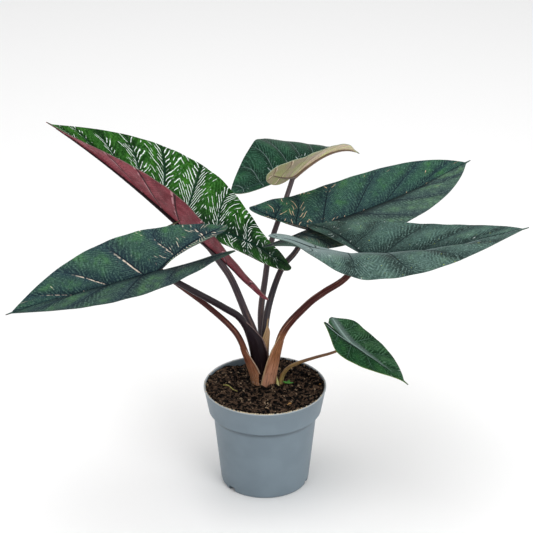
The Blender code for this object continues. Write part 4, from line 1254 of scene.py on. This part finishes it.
def scatter_spot():
    """A random place on the soil, clear of the stalks."""
    while True:
        x, y = on_circle(SOIL_EDGE * math.sqrt(draw.random()), draw.random() * 2 * math.pi)
        off_stem, off_side = math.dist((x, y), FOOT), math.dist((x, y), SIDE_FOOT)
        if off_stem > STALK_CLEARANCE and off_side > SIDE_CLEARANCE:
            return x, y


def add_crumb(bm, x, y, size, sink=0.2):
    """Adds a lumpy crumb. sink is how deep it lies, as a share of its size."""
    made = bmesh.ops.create_icosphere(bm, subdivisions=1 if size < 1.6 else 2, radius=1.0)
    seed = Vector(draw.uniform(0, 50, 3))
    squash = Vector(draw.uniform((0.7, 0.5, 0.35), (1.5, 1.0, 0.8)))
    spin = Matrix.Rotation(draw.random() * FULL_TURN, 3, "Z") @ Matrix.Rotation(draw.normal() * 0.5, 3, "X")
    for vert in made["verts"]:
        lump = 1 + 0.45 * noise.noise(vert.co * 1.3 + seed)
        bent = Vector(c * s for c, s in zip(vert.co * lump, squash))
        vert.co = (spin @ bent * size + Vector((x, y, ground(x, y) - sink * size))) * MM


def pile(name, finish, spots):
    """One piece from many crumbs. Each spot is x, y, size and perhaps sink."""
    bm = bmesh.new()
    for spot in spots:
        add_crumb(bm, *spot)
    return finished(name, bm, [finish], crease=35)


CRUMBS, HANDFULS = 3600, 6
SMALLEST, LARGEST = 0.4, 3.2


def crumb_spots(count):
    for _ in range(count):
        yield *scatter_spot(), min(max(draw.gamma(2.4, 0.5), SMALLEST), LARGEST)


for handful in range(HANDFULS):
    crumbs = pile(f"soil_crumbs_{handful}", soil_skin, crumb_spots(CRUMBS // HANDFULS))
    print("handful", handful, "of crumbs:", len(crumbs.data.polygons), "faces")

# %% [markdown]
# Fibres are thin tubes round short routes that wander a little at each step. The soil is also banked
# against the wall of the pot by crumbs that lie higher than the rest, and cream grit lies on the rim.

# %% Fibres
def add_fibre(bm, x, y, length, radius, rise=0.9):
    """A thin bent root or straw that lies on the soil."""
    heading = draw.random() * 2 * math.pi
    points = []
    for bend in range(5):
        heading += draw.normal() * 0.35
        points.append((x, y, ground(x, y) + rise + draw.random() * 0.8))
        x, y = x + length / 4 * math.cos(heading), y + length / 4 * math.sin(heading)
        reach = math.hypot(x, y)
        if reach > SOIL_EDGE:
            x, y = x * SOIL_EDGE / reach, y * SOIL_EDGE / reach
    route = smooth_route(points, length / 8)
    add_tube(bm, route, np.linspace(radius, 0.5 * radius, len(route)), 5)


FIBRES = 90
straw = Finish("Straw and root fibres", Roughness=0.75)
straw.paint((0.050, 0.026, 0.014))
straw.paint((0.24, 0.145, 0.075), straw.noise(7.0, 2.0))
bm = mapped_mesh()
for _ in range(FIBRES):
    add_fibre(bm, *scatter_spot(), draw.uniform(3, 8), draw.uniform(0.09, 0.2))
finished("soil_fibres", bm, [straw.wear()])
print("fibres:", FIBRES)

# %% Banked crumbs and grit
BANKED, GRIT = 420, 220


def banked_spot():
    """Against the pot's wall, raised a little."""
    angle = math.radians(draw.uniform(-200, 95))
    x, y = on_circle(SOIL_RADIUS - 0.4 - abs(draw.normal()) * 1.1, angle)
    rise = draw.uniform(0.5, 1.8)
    return x, y, draw.uniform(0.7, 1.3), -rise


def grit_spot(number):
    """On the rim, most of it at the front."""
    angle = math.radians(draw.normal() * 28 - 92) if number % 5 else draw.random() * FULL_TURN
    x, y = on_circle(RIM_RADIUS - draw.uniform(0.5, 1.6), angle)
    size = draw.uniform(0.35, 0.75)
    return x, y, size, (ground(x, y) - POT_HEIGHT) / size - 0.2


cream = Finish("Cream grit", Roughness=0.8)
cream.paint((0.36, 0.25, 0.12))
cream.paint((0.80, 0.72, 0.54), cream.noise(3.0, 2.0))
pile("banked_crumbs", soil_skin, (banked_spot() for _ in range(BANKED)))
pile("rim_grit", cream.wear(), (grit_spot(number) for number in range(GRIT)))
print("banked crumbs:", BANKED, "grit:", GRIT)

# %% [markdown]
# ## Small things on the soil
# A pale bract at the foot of the youngest stalk, a weed seedling with four small leaves, a bit of yellow
# stalk and some orange and pale chips of bark. They are small, but they make the soil look real.

# %% Bract and fallen stalk
def plain_finish(name, first, second, size, roughness=0.5):
    """Two colours in blots, for small things."""
    skin = Finish(name, Roughness=roughness, Specular_IOR_Level=0.3)
    skin.paint(first)
    skin.paint(second, skin.step(skin.noise(size, 3.0), 0.35, 0.65))
    return skin.wear()


def rod(name, route, radii, sides, finish, replaces=()):
    bm = mapped_mesh()
    add_tube(bm, route, radii, sides)
    finished(name, bm, [finish], replaces)


bract_green = plain_finish("Bract", (0.46, 0.47, 0.12), (0.56, 0.50, 0.24), 3.0)
route = smooth_route([(12.6, 6.2, 90), (12.5, 6.2, 100), (11.6, 6.8, 109)], 0.8)
pointed = 1.9 * (1 - np.linspace(0, 1, len(route)) ** 2.2) + 0.15
rod("bract_skin", route, pointed, 16, bract_green, ("side_bract",))

yellow = plain_finish("Yellow stalk bit", (0.30, 0.29, 0.07), (0.19, 0.15, 0.05), 3.0)
lying = [(-41.0, 4.0), (-36.0, 2.0), (-31.0, -3.0), (-27.0, -6.0)]
route = smooth_route([(x, y, ground(x, y) + 1.4) for x, y in lying], 1.2)
rod("fallen_stalk", route, np.linspace(0.75, 0.4, len(route)), 10, yellow)
print("bract and fallen stalk ready")

# %% [markdown]
# The seedling's leaves are small grids pinched at both ends and given a thickness, on a thin stem.

# %% Seedling
def add_seed_leaf(bm, base, heading, length, width, rise):
    """A small oval leaf from a grid pinched at both ends."""
    turn = Matrix.Rotation(math.radians(heading), 3, "Z")
    for vert, along, share in grid(bm, 10, 6):
        across = 2 * share - 1
        half = width / 2 * math.sin(math.pi * along**0.8) ** 0.8
        flat = Vector((along * length, across * half, rise * along - 0.2 * abs(across) * half))
        vert.co = (Vector(base) + turn @ flat) * MM
    bmesh.ops.remove_doubles(bm, verts=bm.verts, dist=0.01 * MM)


SEEDLING = (22.5, 6.0)
SEED_LEAVES = ((165, 5.2, 3.2), (-12, 5.6, 2.8), (70, 4.2, 2.8), (-80, 3.2, 2.2))
green = plain_finish("Seedling green", (0.035, 0.20, 0.016), (0.080, 0.28, 0.035), 2.0, 0.45)
seed_x, seed_y = SEEDLING
seed_z = ground(*SEEDLING) + 2.4
bm = mapped_mesh()
for heading, length, width in SEED_LEAVES:
    add_seed_leaf(bm, (seed_x, seed_y, seed_z), heading, length, width, 0.9)
finished("seedling_leaves", bm, [green, green], solidify=0.25)
rising = [(0.0, -4.0), (0.4, -1.5), (0.0, 0.2)]
route = smooth_route([(seed_x + aside, seed_y, seed_z + up) for aside, up in rising], 0.8)
rod("seedling_stem", route, np.full(len(route), 0.3), 8, green)
print("seedling:", len(SEED_LEAVES), "leaves")

# %% [markdown]
# Chips of bark are crumbs too, in orange and in a pale brown, where the eye falls on the soil first.

# %% Chips of bark
CHIPS = ((24.0, -36.5, 1.5), (22.0, -38.5, 0.9), (54.0, 2.5, 1.3), (51.5, 0.5, 0.9), (-14.0, -38.0, 0.8))
orange = plain_finish("Orange bark", (0.34, 0.15, 0.035), (0.50, 0.28, 0.10), 2.0, 0.7)
pile("bark_chips", orange, ((*chip, -0.5) for chip in CHIPS))
PALE_BITS = 26
PALE_MIDDLE, PALE_SPREAD = (2.5, -35.0), (2.6, 6.0)


def pale_spots():
    for _ in range(PALE_BITS):
        x, y = (middle + draw.normal() * spread for middle, spread in zip(PALE_MIDDLE, PALE_SPREAD))
        if math.hypot(x, y) < SOIL_RADIUS - 3:
            yield x, y, draw.uniform(0.35, 1.0), -0.6


pale = plain_finish("Pale bark", (0.24, 0.15, 0.085), (0.46, 0.36, 0.24), 2.0, 0.8)
pile("pale_bits", pale, pale_spots())
print("orange chips:", len(CHIPS), "pale bits, at most:", PALE_BITS)

# %% [markdown]
# ## Stem
# The short stem under the stalks is mostly buried. Its solid stays and gets the tan of the sheaths.

# %% Stem finish
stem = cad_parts["stem_base"]
stem.data.materials.clear()
stem_skin = stalk_finish("Stem skin", PINK_TAN, PINK_TAN, (0.2, 0.11, 0.07), 80, 90, 97, lengthwise=False)
stem.data.materials.append(stem_skin)
print("stem dressed")

# %% [markdown]
